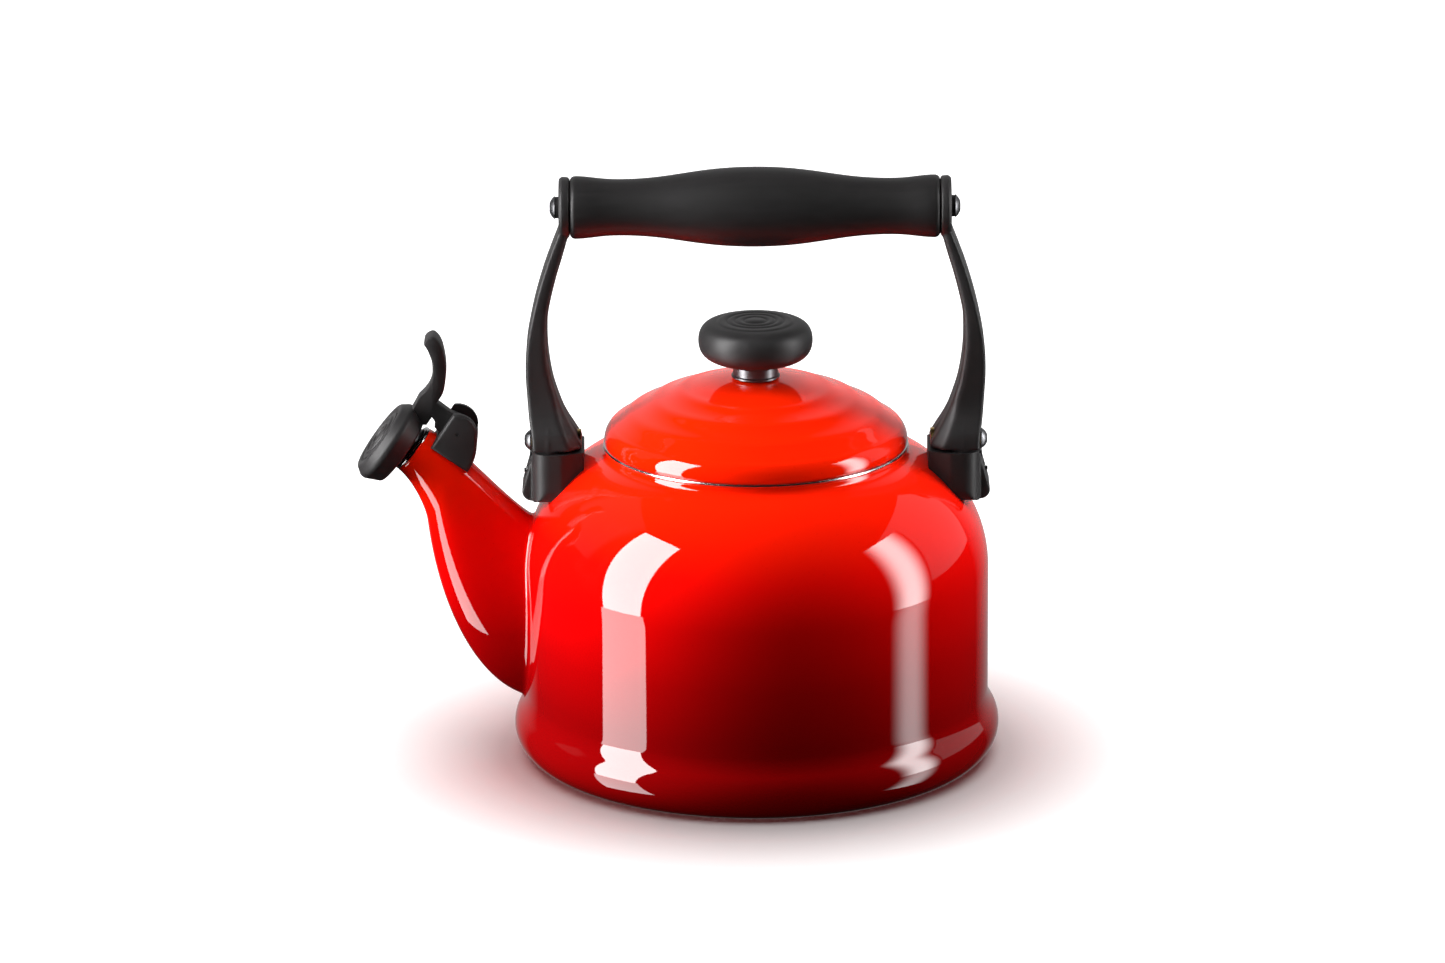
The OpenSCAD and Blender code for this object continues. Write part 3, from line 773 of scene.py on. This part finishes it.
def lid_profile():
    """The lid's section: over the dome from its bore, round the edge and back inside."""
    edge_r = LID_HIGH.x - LID_CORNER
    edge_z = DOME_C + sqrt((DOME_R - LID_CORNER) ** 2 - edge_r**2)
    lean = degrees(atan2(edge_z - DOME_C, edge_r))
    sunk = RIDGE_H * 0.45
    top = []
    for i in range(1, 76):
        a = radians(mix(90, lean, i / 75))
        rise = ridge(DOME_R * cos(a)) - sunk
        top.append(((DOME_R + rise) * cos(a), DOME_C + (DOME_R + rise) * sin(a)))
    top = [p for p in top if p[0] > BORE + 1]
    crown = DOME_C + sqrt(DOME_R**2 - BORE**2) - sunk
    outside = [(BORE, crown)] + top
    outside += arc(edge_r, edge_z, LID_CORNER, lean - 6, 0, 10)
    outside += [(LID_HIGH.x, LID_LOW.z + 0.5), (LID_HIGH.x - 0.4, LID_LOW.z)]
    inside = [(LID_HIGH.x - WALL, LID_LOW.z)]
    inside += arc(edge_r, edge_z, LID_CORNER - WALL, 0, lean, 8)
    inner = (DOME_R - WALL) / DOME_R
    inside += [(r * inner, DOME_C + (z - DOME_C) * inner) for r, z in reversed(top)]
    return outside + inside + [(BORE, crown - WALL)]


def lid_pieces():
    piece("lid_enamel", turned(lid_profile(), 240), ENAMEL, "enamel", "lid", "lid_shell", crease=50)
    tube = COLLAR_R - TUBE_IN - 0.9
    wide, low, high = SKIRT_HIGH.x, SKIRT_LOW.z, SKIRT_HIGH.z
    skirt = [(tube - 1, low + 0.3), (tube - 0.7, low), (tube - 0.3, low), (tube, low + 0.3)]
    skirt += [(tube, high - 1), (wide, high - 1), (wide, high), (tube - 0.6, high)]
    skirt += [(tube - 1, high - 0.4)]
    piece("lid_skirt_enamel", turned(skirt, 200), ENAMEL, "enamel", "lid", "lid_skirt")

    foot = span("knob_ferrule")[0].z
    neck = KNOB_LOW.z
    collar = [(BORE, neck), (BORE, foot + 0.2), (9.4, foot + 0.1), (9.9, foot + 0.5)]
    collar += [(9.9, foot + 1.1), (9.25, foot + 1.5), (9.25, neck - 1.3), (9.0, neck - 1.0)]
    collar += [(8.2, neck - 0.9), (8.0, neck - 0.7), (8.0, neck)]
    piece("knob_ferrule_steel", turned(collar, 128), DARK, "dark_steel", "lid", "knob_ferrule")
    piece("knob_phenolic", turned(knob_profile(), 200), PHENOLIC, "phenolic", "lid", "knob", crease=60)


def knob_profile():
    """The lid's knob: full round edge, and a crown with plain turned rings."""
    r, low, high = KNOB_HIGH.x, KNOB_LOW.z, KNOB_HIGH.z
    tall = high - low
    wide = low + tall * 0.54
    under = bend([(9.5, low + 0.2), (r * 0.84, low + 0.7), (r, low + tall * 0.2), (r, wide)], 20)
    over = [(r, wide), (r, low + tall * 0.84), (r * 0.86, high - 0.9), (r * 0.70, high - 0.75)]
    over = bend(over, 18)[1:]
    crown = [(r * 0.66, high - 0.62), (r * 0.645, high - 0.35), (r * 0.62, high - 0.3)]
    for at in (0.50, 0.36, 0.20):
        x = r * at
        crown += [(x + 0.9, high - 0.18), (x + 0.45, high - 0.5), (x, high - 0.55)]
        crown += [(x - 0.45, high - 0.5), (x - 0.9, high - 0.12)]
    deep = low + 11.2
    socket = [(0, deep), (4.2, deep), (4.2, low), (9.0, low)]
    return socket + under + over + crown + [(0, high)]


# ---------- handle ----------

TAB_T = 4.5
TAB_OUT = GRIP_HALF + TAB_T
GRIP_END_R = 12.8
GRIP_NECK_R = 11.5
HUB_R = 15
BUSH_R = 4.5
WASHER_R = 4.4
SCREW_R = 3
INSERT_R = 4.5
INSERT_L = 20


def arm_lines():
    """The arm's outer and inner edges: height above the pivot, then X."""
    outer = [(0, 91.4), (5, 91.7), (11, 92.6), (21, 93.4), (31, 93.9), (42, 93.4), (52, 91.7)]
    outer += [(62, 89.4), (73, 86.2), (82, 83.0), (90, 79.9)]
    inner = [(0, 71.0), (6, 74.6), (11, 77.3), (16, 79.5), (26, 82.7), (37, 84.5), (47, 84.9)]
    inner += [(57, 84.2), (70, 81.2), (80, 78.2), (90, 75.4)]
    return through(outer, 6), through(inner, 6)


def arm_depth():
    """Half of the arm's depth against height above the pivot."""
    flare = [(0, 14.9), (5, 14.1), (9, 12.0), (13, 10.3), (18, 9.3), (26, 9.0)]
    return through(flare + [(42, 9.8), (60, 9.6), (78, 8.6), (92, 8.6)], 6)


def rounded_section(corners, r, steps=5):
    """Points around a flat outline whose corners are rounded."""
    points = []
    count = len(corners)
    for i, corner in enumerate(corners):
        a = (corners[i - 1] - corner).normalized()
        b = (corners[(i + 1) % count] - corner).normalized()
        for k in range(steps + 1):
            t = k / steps
            points.append(corner + r * ((1 - t) ** 2 * a + t * t * b))
    return points


def arm_shape():
    """The right arm, with its tab at the grip and its hub at the foot."""
    outer, inner = arm_lines()
    depth = arm_depth()
    sections = []
    top = GRIP_Z - PIVOT_Z - 8
    for i in range(56):
        h = mix(-1, top, i / 55)
        x1, x0, y = read_line(outer, h), read_line(inner, h), read_line(depth, h)
        chamfer = mix(5.2, 1.5, min(max(h, 0) / 20, 1))
        corners = [(x1, -y), (x1, y), (x0 + chamfer, y), (x0, y - chamfer)]
        corners += [(x0, chamfer - y), (x0 + chamfer, -y)]
        section = rounded_section([Vector(c) for c in corners], 1.5)
        sections.append([Vector((p.x, p.y, PIVOT_Z + h)) for p in section])
    sides = len(sections[0])

    def ring(section):
        return lambda angle: section[round(angle * sides / (2 * pi)) % sides]

    bar = swept([ring(s) for s in sections], sides)
    disc = [(0, 0), (GRIP_END_R - 1.4, 0), (GRIP_END_R - 0.4, 0.6), (GRIP_END_R - 0.2, TAB_T - 1.2)]
    disc += [(GRIP_END_R - 1.2, TAB_T), (0, TAB_T)]
    tab = placed(turned(disc, 96), along_x(GRIP_HALF, GRIP_Z))
    body = moulded(joined(bar, tab, hub_shape(0)), 0.42, 9)
    bush_hole = rod((0, 0, PIVOT_Z), (BASE_R, 0, PIVOT_Z), BUSH_R)
    recess = rod((HUB_OUT - 0.1, 0, PIVOT_Z), (BASE_R, 0, PIVOT_Z), WASHER_R + 1)
    screw_hole = rod((0, 0, GRIP_Z), (BASE_R, 0, GRIP_Z), SCREW_R)
    return cut(body, lug_room(), bush_hole, recess, screw_hole)


def hub_shape(gap):
    """The turned hub at the foot of the arm, grown by a gap to cut its cradle."""
    edge = 7
    profile = [(0, HUB_IN - gap), (2.5 + gap, HUB_IN - gap), (6 + gap, HUB_IN + 2.7)]
    profile += [(10.2 + gap, HUB_IN + 5.5), (13 + gap, HUB_IN + 8.2)]
    profile += [(z, x) for x, z in arc(HUB_OUT - edge, HUB_R - edge, edge + gap, 90, 0, 12)]
    profile += [(0, HUB_OUT + gap)]
    return placed(turned(profile, 128), along_x(0, PIVOT_Z))


LUG_LOW, LUG_HIGH = span("lug_right")
LUG_FAN = 20
HANDLE_SWING = 55


def lug_room():
    """Space for the lug inside the hub over the whole swing of the handle."""
    r = LUG_HIGH.y + GAP
    swing = radians(HANDLE_SWING)
    out, up = r * cos(swing), r * sin(swing)
    fall = LUG_FAN / tan(swing)
    far, low = out + LUG_FAN, -2 * HUB_R
    fan = [(out, up), (far, up - fall), (far, low), (-far, low), (-far, up - fall), (-out, up)]
    x = LUG_LOW.x - GAP
    wide = LUG_HIGH.x - LUG_LOW.x + 2 * GAP
    tool = prism([(x, y, PIVOT_Z + z) for y, z in fan], (wide, 0, 0))
    disc = rod((x - 0.01, 0, PIVOT_Z), (x + wide + 0.01, 0, PIVOT_Z), r)
    return fused(tool, disc)


def grip_shape():
    """Turned grip: a swelling middle, narrower necks and flared, rounded ends."""
    neck = GRIP_HALF - 20
    mid_r, neck_r, end_r, round_r = GRIP_MID_R, GRIP_NECK_R, GRIP_END_R, 2.2
    line = bend([(0, mid_r), (neck * 0.45, mid_r), (neck * 0.6, neck_r), (neck, neck_r)], 28)
    flare = [(neck, neck_r), (neck + 8, neck_r), (GRIP_HALF - 8, end_r), (GRIP_HALF - round_r, end_r)]
    line += bend(flare, 12)[1:]
    line += arc(GRIP_HALF - round_r, end_r - round_r, round_r, 80, 0, 6)
    deep = GRIP_HALF - INSERT_L
    line += [(GRIP_HALF, INSERT_R), (deep, INSERT_R), (deep, 0)]
    half = [(r, x) for x, r in line]
    left = [(r, -x) for r, x in reversed(half[1:])]
    return placed(turned(left + half, 160), along_x(0, GRIP_Z))


def dome_head(seat, r, h, shank_r, shank, steps=64, slot=0.0):
    """A screw with a domed head that stands on its seat, axis along Z. slot is the
    depth of the six-sided socket in its head."""
    ball = (r * r + h * h) / (2 * h)
    lean = degrees(acos(r / ball))
    tip = seat - shank
    profile = [(0, tip), (shank_r - 0.4, tip), (shank_r, tip + 0.4), (shank_r, seat)]
    profile += [(r - 0.12, seat), (r, seat + 0.12)]
    profile += arc(0, seat + h - ball, ball, lean + 1.5, 90, 10)
    bm = turned(profile, steps)
    if slot:
        top = seat + h
        key = rod((0, 0, top - slot), (0, 0, top + 1), r * 0.42, 6)
        bm = cut(bm, key)
    return bm


def both(bm):
    """The shape on both sides of the kettle."""
    return joined(bm, mirrored(bm))


def handle_pieces():
    arm = arm_shape()
    piece("arm_left_phenolic", mirrored(arm), PHENOLIC, "phenolic", "handle", "arm_left")
    piece("arm_right_phenolic", arm, PHENOLIC, "phenolic", "handle", "arm_right")
    piece("grip_phenolic", grip_shape(), GRIP, "phenolic", "handle", "grip", crease=50)
    thick = 1.6
    spacer = [(SCREW_R, 0), (4.2, 0), (4.4, 0.2), (4.4, thick - 0.1), (4.3, thick), (SCREW_R, thick)]
    washer = placed(turned(spacer, 64), along_x(TAB_OUT, GRIP_Z))
    piece("grip_spacers", both(washer), PHENOLIC, "phenolic", "handle", "grip_washers")
    screw = dome_head(0, 4.8, 2.4, SCREW_R, 23, slot=1.3)
    placed(screw, along_x(TAB_OUT + thick, GRIP_Z))
    piece("grip_screws_steel", both(screw), DARK, "stainless", "handle", "grip_screws")


# ---------- feet ----------

FOOT_DEPTH = 16.2
SEAM_Z = PIVOT_Z - 2
LEAF_LOW, LEAF_HIGH = span("detent_springs")
SCREW_Z = middle("foot_screws").z
LEAF_X = HUB_OUT + GAP
LEAF_T = 0.9
LEAF_HALF = 3.5
FOOT_SCREW_R = 1.5


def foot_shape():
    """The right foot: a rounded block on the shoulder, with the hub's cradle in it."""
    nose = (HUB_OUT + 0.4, PIVOT_Z - 19.5)
    outline = [(HUB_IN - 1.1, SEAM_Z + 3), (HUB_OUT - 0.4, SEAM_Z + 3), (HUB_OUT - 0.4, SEAM_Z)]
    outline += arc(nose[0], nose[1], 4, 14, -130, 12) + [(HUB_IN - 1.1, PIVOT_Z - 22)]
    side = slab(outline, 30)
    front = [(0, -FOOT_DEPTH, SEAM_Z + 4), (0, -FOOT_DEPTH, SEAM_Z - 6)]
    flat, low = 6, SEAM_Z - 14.5
    front += [(0, y - flat, z) for y, z in arc(0, low, FOOT_DEPTH - flat, 185, 270, 14)]
    front += [(0, y + flat, z) for y, z in arc(0, low, FOOT_DEPTH - flat, 270, 355, 14)]
    front += [(0, FOOT_DEPTH, SEAM_Z - 6), (0, FOOT_DEPTH, SEAM_Z + 4)]
    edge = 7
    half = [(HUB_IN - 4, 10.5), (HUB_OUT - 12, FOOT_DEPTH)]
    half += arc(HUB_OUT - edge, FOOT_DEPTH - edge, edge, 90, 0, 10)
    half += [(BASE_R + 10, FOOT_DEPTH - edge)]
    plan = [(x, y, 60) for x, y in half] + [(x, -y, 60) for x, y in reversed(half)]
    block = kept(side, prism(front, (BASE_R + 10, 0, 0)), prism(plan, (0, 0, 120)))
    block = moulded(block, 0.42, 12)
    top = prism([(0, -40, SEAM_Z), (120, -40, SEAM_Z), (120, 40, SEAM_Z), (0, 40, SEAM_Z)], (0, 0, 30))
    hole = rod((40, 0, SCREW_Z), (BASE_R + 10, 0, SCREW_Z), FOOT_SCREW_R, 32)
    sink = rod((LEAF_X + LEAF_T, 0, SCREW_Z), (BASE_R + 10, 0, SCREW_Z), 2 * FOOT_SCREW_R)
    leaf = upright_bar(LEAF_X, LEAF_HALF, LEAF_LOW.z, SEAM_Z + 9, LEAF_T)
    lug = upright_bar(LUG_LOW.x, LUG_HIGH.y, SIDE_TOP, PIVOT_Z, LUG_HIGH.x - LUG_LOW.x)
    return cut(block, top, hub_shape(GAP), shoulder_tool(), hole, sink, leaf, lug)


def upright_bar(x, half, low, high, thick):
    """A flat upright bar across X, as a tool."""
    corners = [(x, -half, low), (x, half, low), (x, half, high), (x, -half, high)]
    return prism(corners, (thick, 0, 0))


def shoulder_tool():
    """The body's outside as one solid, to seat the feet on."""
    profile = [(0, 40), (SIDE_R, 40)] + arc(SHOULDER_C, SIDE_TOP, SHOULDER_R, 0, 80, 90)
    return turned(profile + [(0, profile[-1][1])], 240)


def leaf_shape():
    """The spring leaf: a thin plate with a hole, its edges broken."""
    low, high, out = LEAF_LOW.z, LEAF_HIGH.z, LEAF_X + LEAF_T
    outline = [(LEAF_X, low), (out, low), (out, high - 0.4), (out - 0.3, high), (LEAF_X, high)]
    plate = soften(slab(outline, LEAF_HALF), 0.15, 2)
    return cut(plate, rod((0, 0, SCREW_Z), (BASE_R, 0, SCREW_Z), FOOT_SCREW_R, 32))


def mount_pieces():
    foot = foot_shape()
    piece("foot_left_phenolic", mirrored(foot), PHENOLIC, "phenolic", "kettle", "foot_left")
    piece("foot_right_phenolic", foot, PHENOLIC, "phenolic", "kettle", "foot_right")
    piece("spring_leaves_steel", both(leaf_shape()), DARK, "dark_steel", "kettle", "detent_springs")
    small = dome_head(0, 2.2, 1.3, FOOT_SCREW_R, 2.2, slot=0.7)
    placed(small, along_x(LEAF_X + LEAF_T, SCREW_Z))
    piece("foot_screws_steel", both(small), BRIGHT, "stainless", "kettle", "foot_screws")
    large = dome_head(0, 4.2, 2.6, SCREW_R, HUB_OUT + 1 - HUB_IN, slot=1.4)
    placed(large, along_x(HUB_OUT + 1, PIVOT_Z))
    piece("hinge_screws_steel", both(large), DARK, "stainless", "kettle", "pivot_screws")
    ring = [(SCREW_R, GAP), (WASHER_R - 0.1, GAP), (WASHER_R, GAP + 0.1)]
    ring += [(WASHER_R, 0.9), (WASHER_R - 0.1, 1), (SCREW_R, 1)]
    washer = placed(turned(ring, 64), along_x(HUB_OUT, PIVOT_Z))
    piece("hinge_washers_steel", both(washer), DARK, "dark_steel", "kettle", "pivot_washers")


# ---------- whistle ----------

hinge = Vector((HINGE.x, HINGE.z))
CAP_R = 18
CAP_GAP = 2.5
CAP_FRONT = CAP_GAP + 12.6
CAP_DROP = 3.7
cap_up = Vector((sin(radians(CAP_TILT)), cos(radians(CAP_TILT))))
cap_out = Vector((-cos(radians(CAP_TILT)), sin(radians(CAP_TILT))))
cap_centre = MOUTH - CAP_DROP * cap_up
TONGUE = 3
CUP_R = span("whistle_cup")[1].y
CUP_TOP = CAP_GAP + 6.5
PIN_R = 1.5
BRACKET_HALF = 9.5


def eased(corners, r, steps=5):
    """An outline whose inner corners are rounded, with its flats kept flat."""
    points = [tuple(corners[0])]
    for a, b, c in zip(corners, corners[1:], corners[2:]):
        a, b, c = Vector(a), Vector(b), Vector(c)
        back, on = (a - b).normalized(), (c - b).normalized()
        reach = min(r, (a - b).length * 0.4, (c - b).length * 0.4)
        points.append(tuple(b + back * reach * 1.2))
        for k in range(steps + 1):
            t = k / steps
            points.append(tuple(b + reach * ((1 - t) ** 2 * back + t * t * on)))
        points.append(tuple(b + on * reach * 1.2))
    return points + [tuple(corners[-1])]


def cap_profile():
    """The whistle cap: a bowl behind and a raised round rim in front."""
    flat = CAP_FRONT - 1.2
    back = [(0, CAP_GAP + 0.5), (10.6, CAP_GAP + 0.6), (15.0, CAP_GAP + 1), (CAP_R, CAP_FRONT - 5)]
    rim = [(CAP_R - 0.2, CAP_FRONT - 3.3), (CAP_R - 2.6, CAP_FRONT), (CAP_R - 4.8, CAP_FRONT)]
    return eased(back + rim + [(CAP_R - 5.8, flat), (0, flat)], 0.9)


def lever_outline():
    """Side view of the thumb lever, its rolled tip and its hinge tongue."""
    crown = cap_centre + (CAP_FRONT - 3.8) * cap_out + (CAP_R - 1) * cap_up
    back = cap_centre + (CAP_GAP + 3) * cap_out + (CAP_R - 4) * cap_up
    up = [(-8.2, 11.8), (-5.6, 16), (-4.4, 22.3), (-4.3, 28), (-5.1, 33.5), (-6.4, 37.6), (-8.6, 40.2)]
    tip = [(-10.6, 40.3), (-12.6, 38.9), (-13.1, 37), (-12.2, 35.4), (-11.2, 33.2)]
    down = [(-9.9, 28.7), (-10.2, 22.3), (-12.2, 18), (-15.6, 14.4)]
    line = [(3.2, 1.8), (1.5, 5.6), (-2.4, 7.4)] + through(up + tip + down, 4)
    under = [(-15.4, 2.2), (-12.6, 2.1), (-11.7, 3.4), (-10.4, 5.4)]
    under += [(-9.2, 3.6), (-9.4, 1.2), (-7.6, -1)]
    under += [(-3.4, -2), (0, 0)]
    return at_hinge(line) + [tuple(crown), tuple(back)] + at_hinge(under)


def lever_width(z):
    """The thumb lever widens above its tongue."""
    return read_line([(9, 1.0), (15, 1.35), (26, 1.6), (40, 2.0)], z - HINGE.z)


def cap_shape():
    """The whistle cap with its thumb lever and hinge tongue, moulded in one."""
    place = on_axis(cap_centre, CAP_TILT)
    bowl = placed(turned(cap_profile(), 128), place)
    lever = soften(slab(lever_outline(), TONGUE), 0.8)
    for v in lever.verts:
        v.co.y *= lever_width(v.co.z)
    barrel = rod((HINGE.x, -TONGUE, HINGE.z), (HINGE.x, TONGUE, HINGE.z), 3.4)
    whole = fused(bowl, lever, barrel)
    pin = rod((HINGE.x, -20, HINGE.z), (HINGE.x, 20, HINGE.z), PIN_R + 0.05)
    chamber = placed(rod((0, 0, -1), (0, 0, CUP_TOP), CUP_R, 64), on_axis(MOUTH, MOUTH_TILT))
    vent = placed(rod((0, 0, CAP_GAP + 5), (-CAP_R - 5, 0, CAP_GAP + 5), 1.5, 24), place)
    return cut(whole, pin, chamber, vent)


def badge_profile():
    """The raised face in the cap's rim, with plain turned rings."""
    r, low, high = 11.5, CAP_FRONT - 1.25, CAP_FRONT - 0.2
    line = [(0, low), (r, low), (r, high)]
    for at in (9.6, 5.6):
        line += [(at, high), (at - 0.5, high + 0.7), (at - 1.5, high + 0.7), (at - 2, high)]
    return eased(line + [(0, high)], 0.3)


def at_hinge(points):
    """Points in X and Z, counted from the whistle's hinge."""
    return [tuple(hinge + Vector(p)) for p in points]


def bracket_shape():
    """The saddle on the spout, with a slot between its cheeks for the tongue."""
    outline = arc(0, 0, 8.3, 100, -12, 20)
    outline += bend([(8.12, -1.7), (8.4, -7), (7.4, -12), (4, -16.5)], 12)[1:] + [(-11, -6)]
    half = BRACKET_HALF
    block = soften(slab(at_hinge(outline), half), 1.6)
    slot = arc(0, 0, 5.6, 206, 310, 2) + [(20, 6), (20, 20), (-20, 20), (-20, 2)]
    x, z, seat = HINGE.x, HINGE.z, half - 0.8
    pin = rod((x, -seat, z), (x, seat, z), PIN_R)
    dimples = joined(*[rod((x, y - 0.5, z), (x, y + 0.5, z), 0.8, 24) for y in (-half, half)])

    def around(t):
        return lambda angle: spout_point(t, angle, -0.1)

    neck = swept([around(mix(0.45, 1, i / 20)) for i in range(21)], 64)
    return cut(block, slab(at_hinge(slot), half - 3), pin, dimples, neck)


def whistle_pieces():
    cap = cap_shape()
    piece("whistle_cap_phenolic", cap, PHENOLIC, "phenolic", "whistle_cap", "cap_housing", crease=32)
    badge = placed(turned(badge_profile(), 128), on_axis(cap_centre, CAP_TILT))
    piece("whistle_cap_face", badge, PHENOLIC, "phenolic", "whistle_cap", "cap_badge")
    cup = [(CUP_R - 1.6, 2), (CUP_R - 0.5, 2), (CUP_R - 0.1, 2.3), (CUP_R, 2.6), (CUP_R, CUP_TOP)]
    cup += [(CUP_R - 0.8, CUP_TOP), (CUP_R - 1, 2.6)]
    cup = placed(turned(cup, 96), on_axis(MOUTH, MOUTH_TILT))
    piece("whistle_cup_steel", cup, DARK, "stainless", "whistle_cap", "whistle_cup")
    bracket = bracket_shape()
    piece("whistle_bracket_phenolic", bracket, PHENOLIC, "phenolic", "kettle", "whistle_bracket")
    reach = BRACKET_HALF - 0.9
    pin = rod((HINGE.x, -reach, HINGE.z), (HINGE.x, reach, HINGE.z), PIN_R)
    piece("whistle_pin_steel", pin, BRIGHT, "stainless", "kettle", "hinge_pin")


def carried_over():
    """Gives the CAD nodes their finishes. Those that no piece stands for stay as they are."""
    finishes = {"stainless": BRIGHT, "dark_steel": DARK, "brass": BRASS}
    finishes.update({"phenolic": PHENOLIC, "enamel": ENAMEL})
    slots = {row["node"]: row["material_slot"] for row in frame["record"]["subparts"]}
    for name, obj in frame["nodes"].items():
        obj.data.materials.clear()
        obj.data.materials.append(finishes[slots[name]])


# ---------- stage ----------


def floor():
    """A pale floor that glows, except in a painted dark ring of shadow under the body, tinted red as
    painted light bounced off the enamel.
    """
    bm = bmesh.new()
    bmesh.ops.create_grid(bm, x_segments=1, y_segments=1, size=9)
    f = Finish("pale floor")
    spot = f.place()
    cloud = f.noise(spot, 3.0, 2.0)
    colour = f.blend(cloud, (0.84, 0.84, 0.84, 1), (0.86, 0.86, 0.86, 1))
    away = f.node("VectorMath", {"operation": "LENGTH"}, {0: spot}, output="Value")
    # painted shadow: the glow falls to near black under the body, with a painted red tint of light
    # bounced off the enamel
    stops = [(0.105, (0.03, 0.0, 0.0)), (0.125, (0.22, 0.17, 0.17))]
    stops += [(0.165, (0.6, 0.57, 0.57)), (0.35, (0.95, 0.95, 0.95))]
    glow = f.node("ValToRGB", {"stops": stops}, {"Fac": away})
    paint = {"Base_Color": colour, "Emission_Color": glow, "Emission_Strength": 1.0}
    obj = in_scene("floor", bm, f.done(Roughness=0.9, Specular_IOR_Level=0.0, **paint))
    obj.visible_glossy = False
    obj.visible_shadow = False
    obj.visible_diffuse = False
    return obj


def facing_kettle(azimuth, rise, distance):
    """A place around the kettle that looks at its middle, in degrees and metres."""
    a, e = radians(azimuth), radians(rise)
    away = Vector((-sin(a) * cos(e), -cos(a) * cos(e), sin(e)))
    turn = away.to_track_quat("Z", "Y").to_matrix().to_4x4()
    return Matrix.Translation(away * distance + Vector((0, 0, 0.08))) @ turn


def reflector(name, azimuth, rise, distance, wide, tall, strength, soft):
    """A glowing panel that only shows in reflections. azimuth is counted from the
    front to the left, and soft is the share of its width that fades at each side."""
    bm = bmesh.new()
    bmesh.ops.create_grid(bm, x_segments=1, y_segments=1, size=0.5)
    bmesh.ops.scale(bm, verts=bm.verts, vec=(wide, tall, 1))
    f = Finish(name)
    spot = f.node("TexCoord", output="Object")
    x = f.node("SeparateXYZ", {}, {"Vector": spot}, output="X")
    side = f.node("Math", {"operation": "ABSOLUTE"}, {0: x})
    fade = f.node(
        "MapRange",
        {"interpolation_type": "SMOOTHSTEP"},
        {
            "Value": side,
            "From Min": wide / 2 * (1 - soft),
            "From Max": wide / 2,
            "To Min": 1.0,
            "To Max": 0.0,
        },
    )
    glow = f.node("Emission", {}, {"Color": (1, 1, 1, 1), "Strength": fade * strength})
    f.close_with(glow)
    obj = in_scene(name, bm, f.material)
    obj.matrix_world = facing_kettle(azimuth, rise, distance)
    obj.visible_camera = False
    obj.visible_diffuse = False
    obj.visible_shadow = False
    obj.visible_transmission = False


def softbox(name, azimuth, rise, distance, wide, tall, power):
    """A soft light that doesn't show in reflections."""
    data = bpy.data.lights.new(name, "AREA")
    data.shape = "RECTANGLE"
    data.size, data.size_y = wide, tall
    data.energy = power
    obj = bpy.data.objects.new(name, data)
    obj.matrix_world = facing_kettle(azimuth, rise, distance)
    bpy.context.scene.collection.objects.link(obj)
    obj.visible_glossy = False
    return obj


def surroundings():
    """A dark room with a pale glow behind the kettle."""
    world = bpy.data.worlds.new("studio")
    bpy.context.scene.world = world
    world.use_nodes = True
    f = Finish("studio", world.node_tree)
    spot = f.node("TexCoord", output="Generated")
    behind = {0: spot, 1: (0, 0.98, 0.2)}
    toward = f.node("VectorMath", {"operation": "DOT_PRODUCT"}, behind, output="Value")
    stops = [(0.0, (0, 0, 0)), (0.66, (0.01, 0.01, 0.01))]
    stops += [(0.86, (0.34, 0.34, 0.34)), (1.0, (0.55, 0.55, 0.55))]
    sky = f.node("ValToRGB", {"stops": stops}, {"Fac": toward})
    back = f.node("Background", {}, {"Color": sky, "Strength": 1.0})
    end = f.tree.nodes.new("ShaderNodeOutputWorld")
    f.tree.links.new(back.socket, end.inputs["Surface"])


def lights(ground):
    """The softboxes and reflectors. Only the overhead one lights the floor."""
    softbox("overhead", 180, 84, 1.6, 2.4, 2.4, 36)
    beside = [
        softbox("key", 90, 20, 1.4, 0.7, 1.2, 66),
        softbox("fill", -104, 18, 1.5, 0.7, 1.2, 36),
        softbox("front", 28, 14, 1.6, 1.2, 1.0, 9.5),
    ]
    for light in beside:
        kept_off = bpy.data.collections.new("not lit by " + light.name)
        kept_off.objects.link(ground)
        kept_off.collection_objects[0].light_linking.link_state = "EXCLUDE"
        light.light_linking.receiver_collection = kept_off
    reflector("left strip upper", 67.8, 19.5, 1.6, 0.70, 1.85, 19, 0.05)
    reflector("left strip lower", 67.8, -24, 1.6, 0.70, 0.82, 7.8, 0.05)
    reflector("right strip upper", -80, 14, 1.6, 0.80, 1.5, 13, 0.9)
    reflector("right strip lower", -80, -24, 1.6, 0.72, 0.82, 5.0, 0.9)
    reflector("left wall", 112, 34, 1.9, 1.3, 1.3, 0.16, 0.3)
    reflector("right wall", -108, 22, 1.9, 1.9, 1.5, 0.55, 0.05)


CAMERA_AWAY = 3.5
CAMERA_RISE = 17


def camera():
    """A long lens in front of the kettle and a little above it."""
    data = bpy.data.cameras.new("camera")
    data.sensor_width = 36
    data.lens = 212.4
    data.clip_end = 50
    obj = bpy.data.objects.new("camera", data)
    bpy.context.scene.collection.objects.link(obj)
    aim = Vector((-0.01375, 0, 0.1148))
    rise = radians(CAMERA_RISE)
    back = Vector((0, -cos(rise), sin(rise)))
    obj.location = aim + back * CAMERA_AWAY
    lean = Matrix.Rotation(radians(-0.28), 3, "Z")
    look = back.to_track_quat("Z", "Y").to_matrix() @ lean
    obj.rotation_euler = look.to_euler()
    bpy.context.scene.camera = obj


carried_over()
body_pieces()
lid_pieces()
handle_pieces()
mount_pieces()
whistle_pieces()
surroundings()
lights(floor())
camera()
view = bpy.context.scene.view_settings
view.view_transform = "Standard"
view.look = "None"
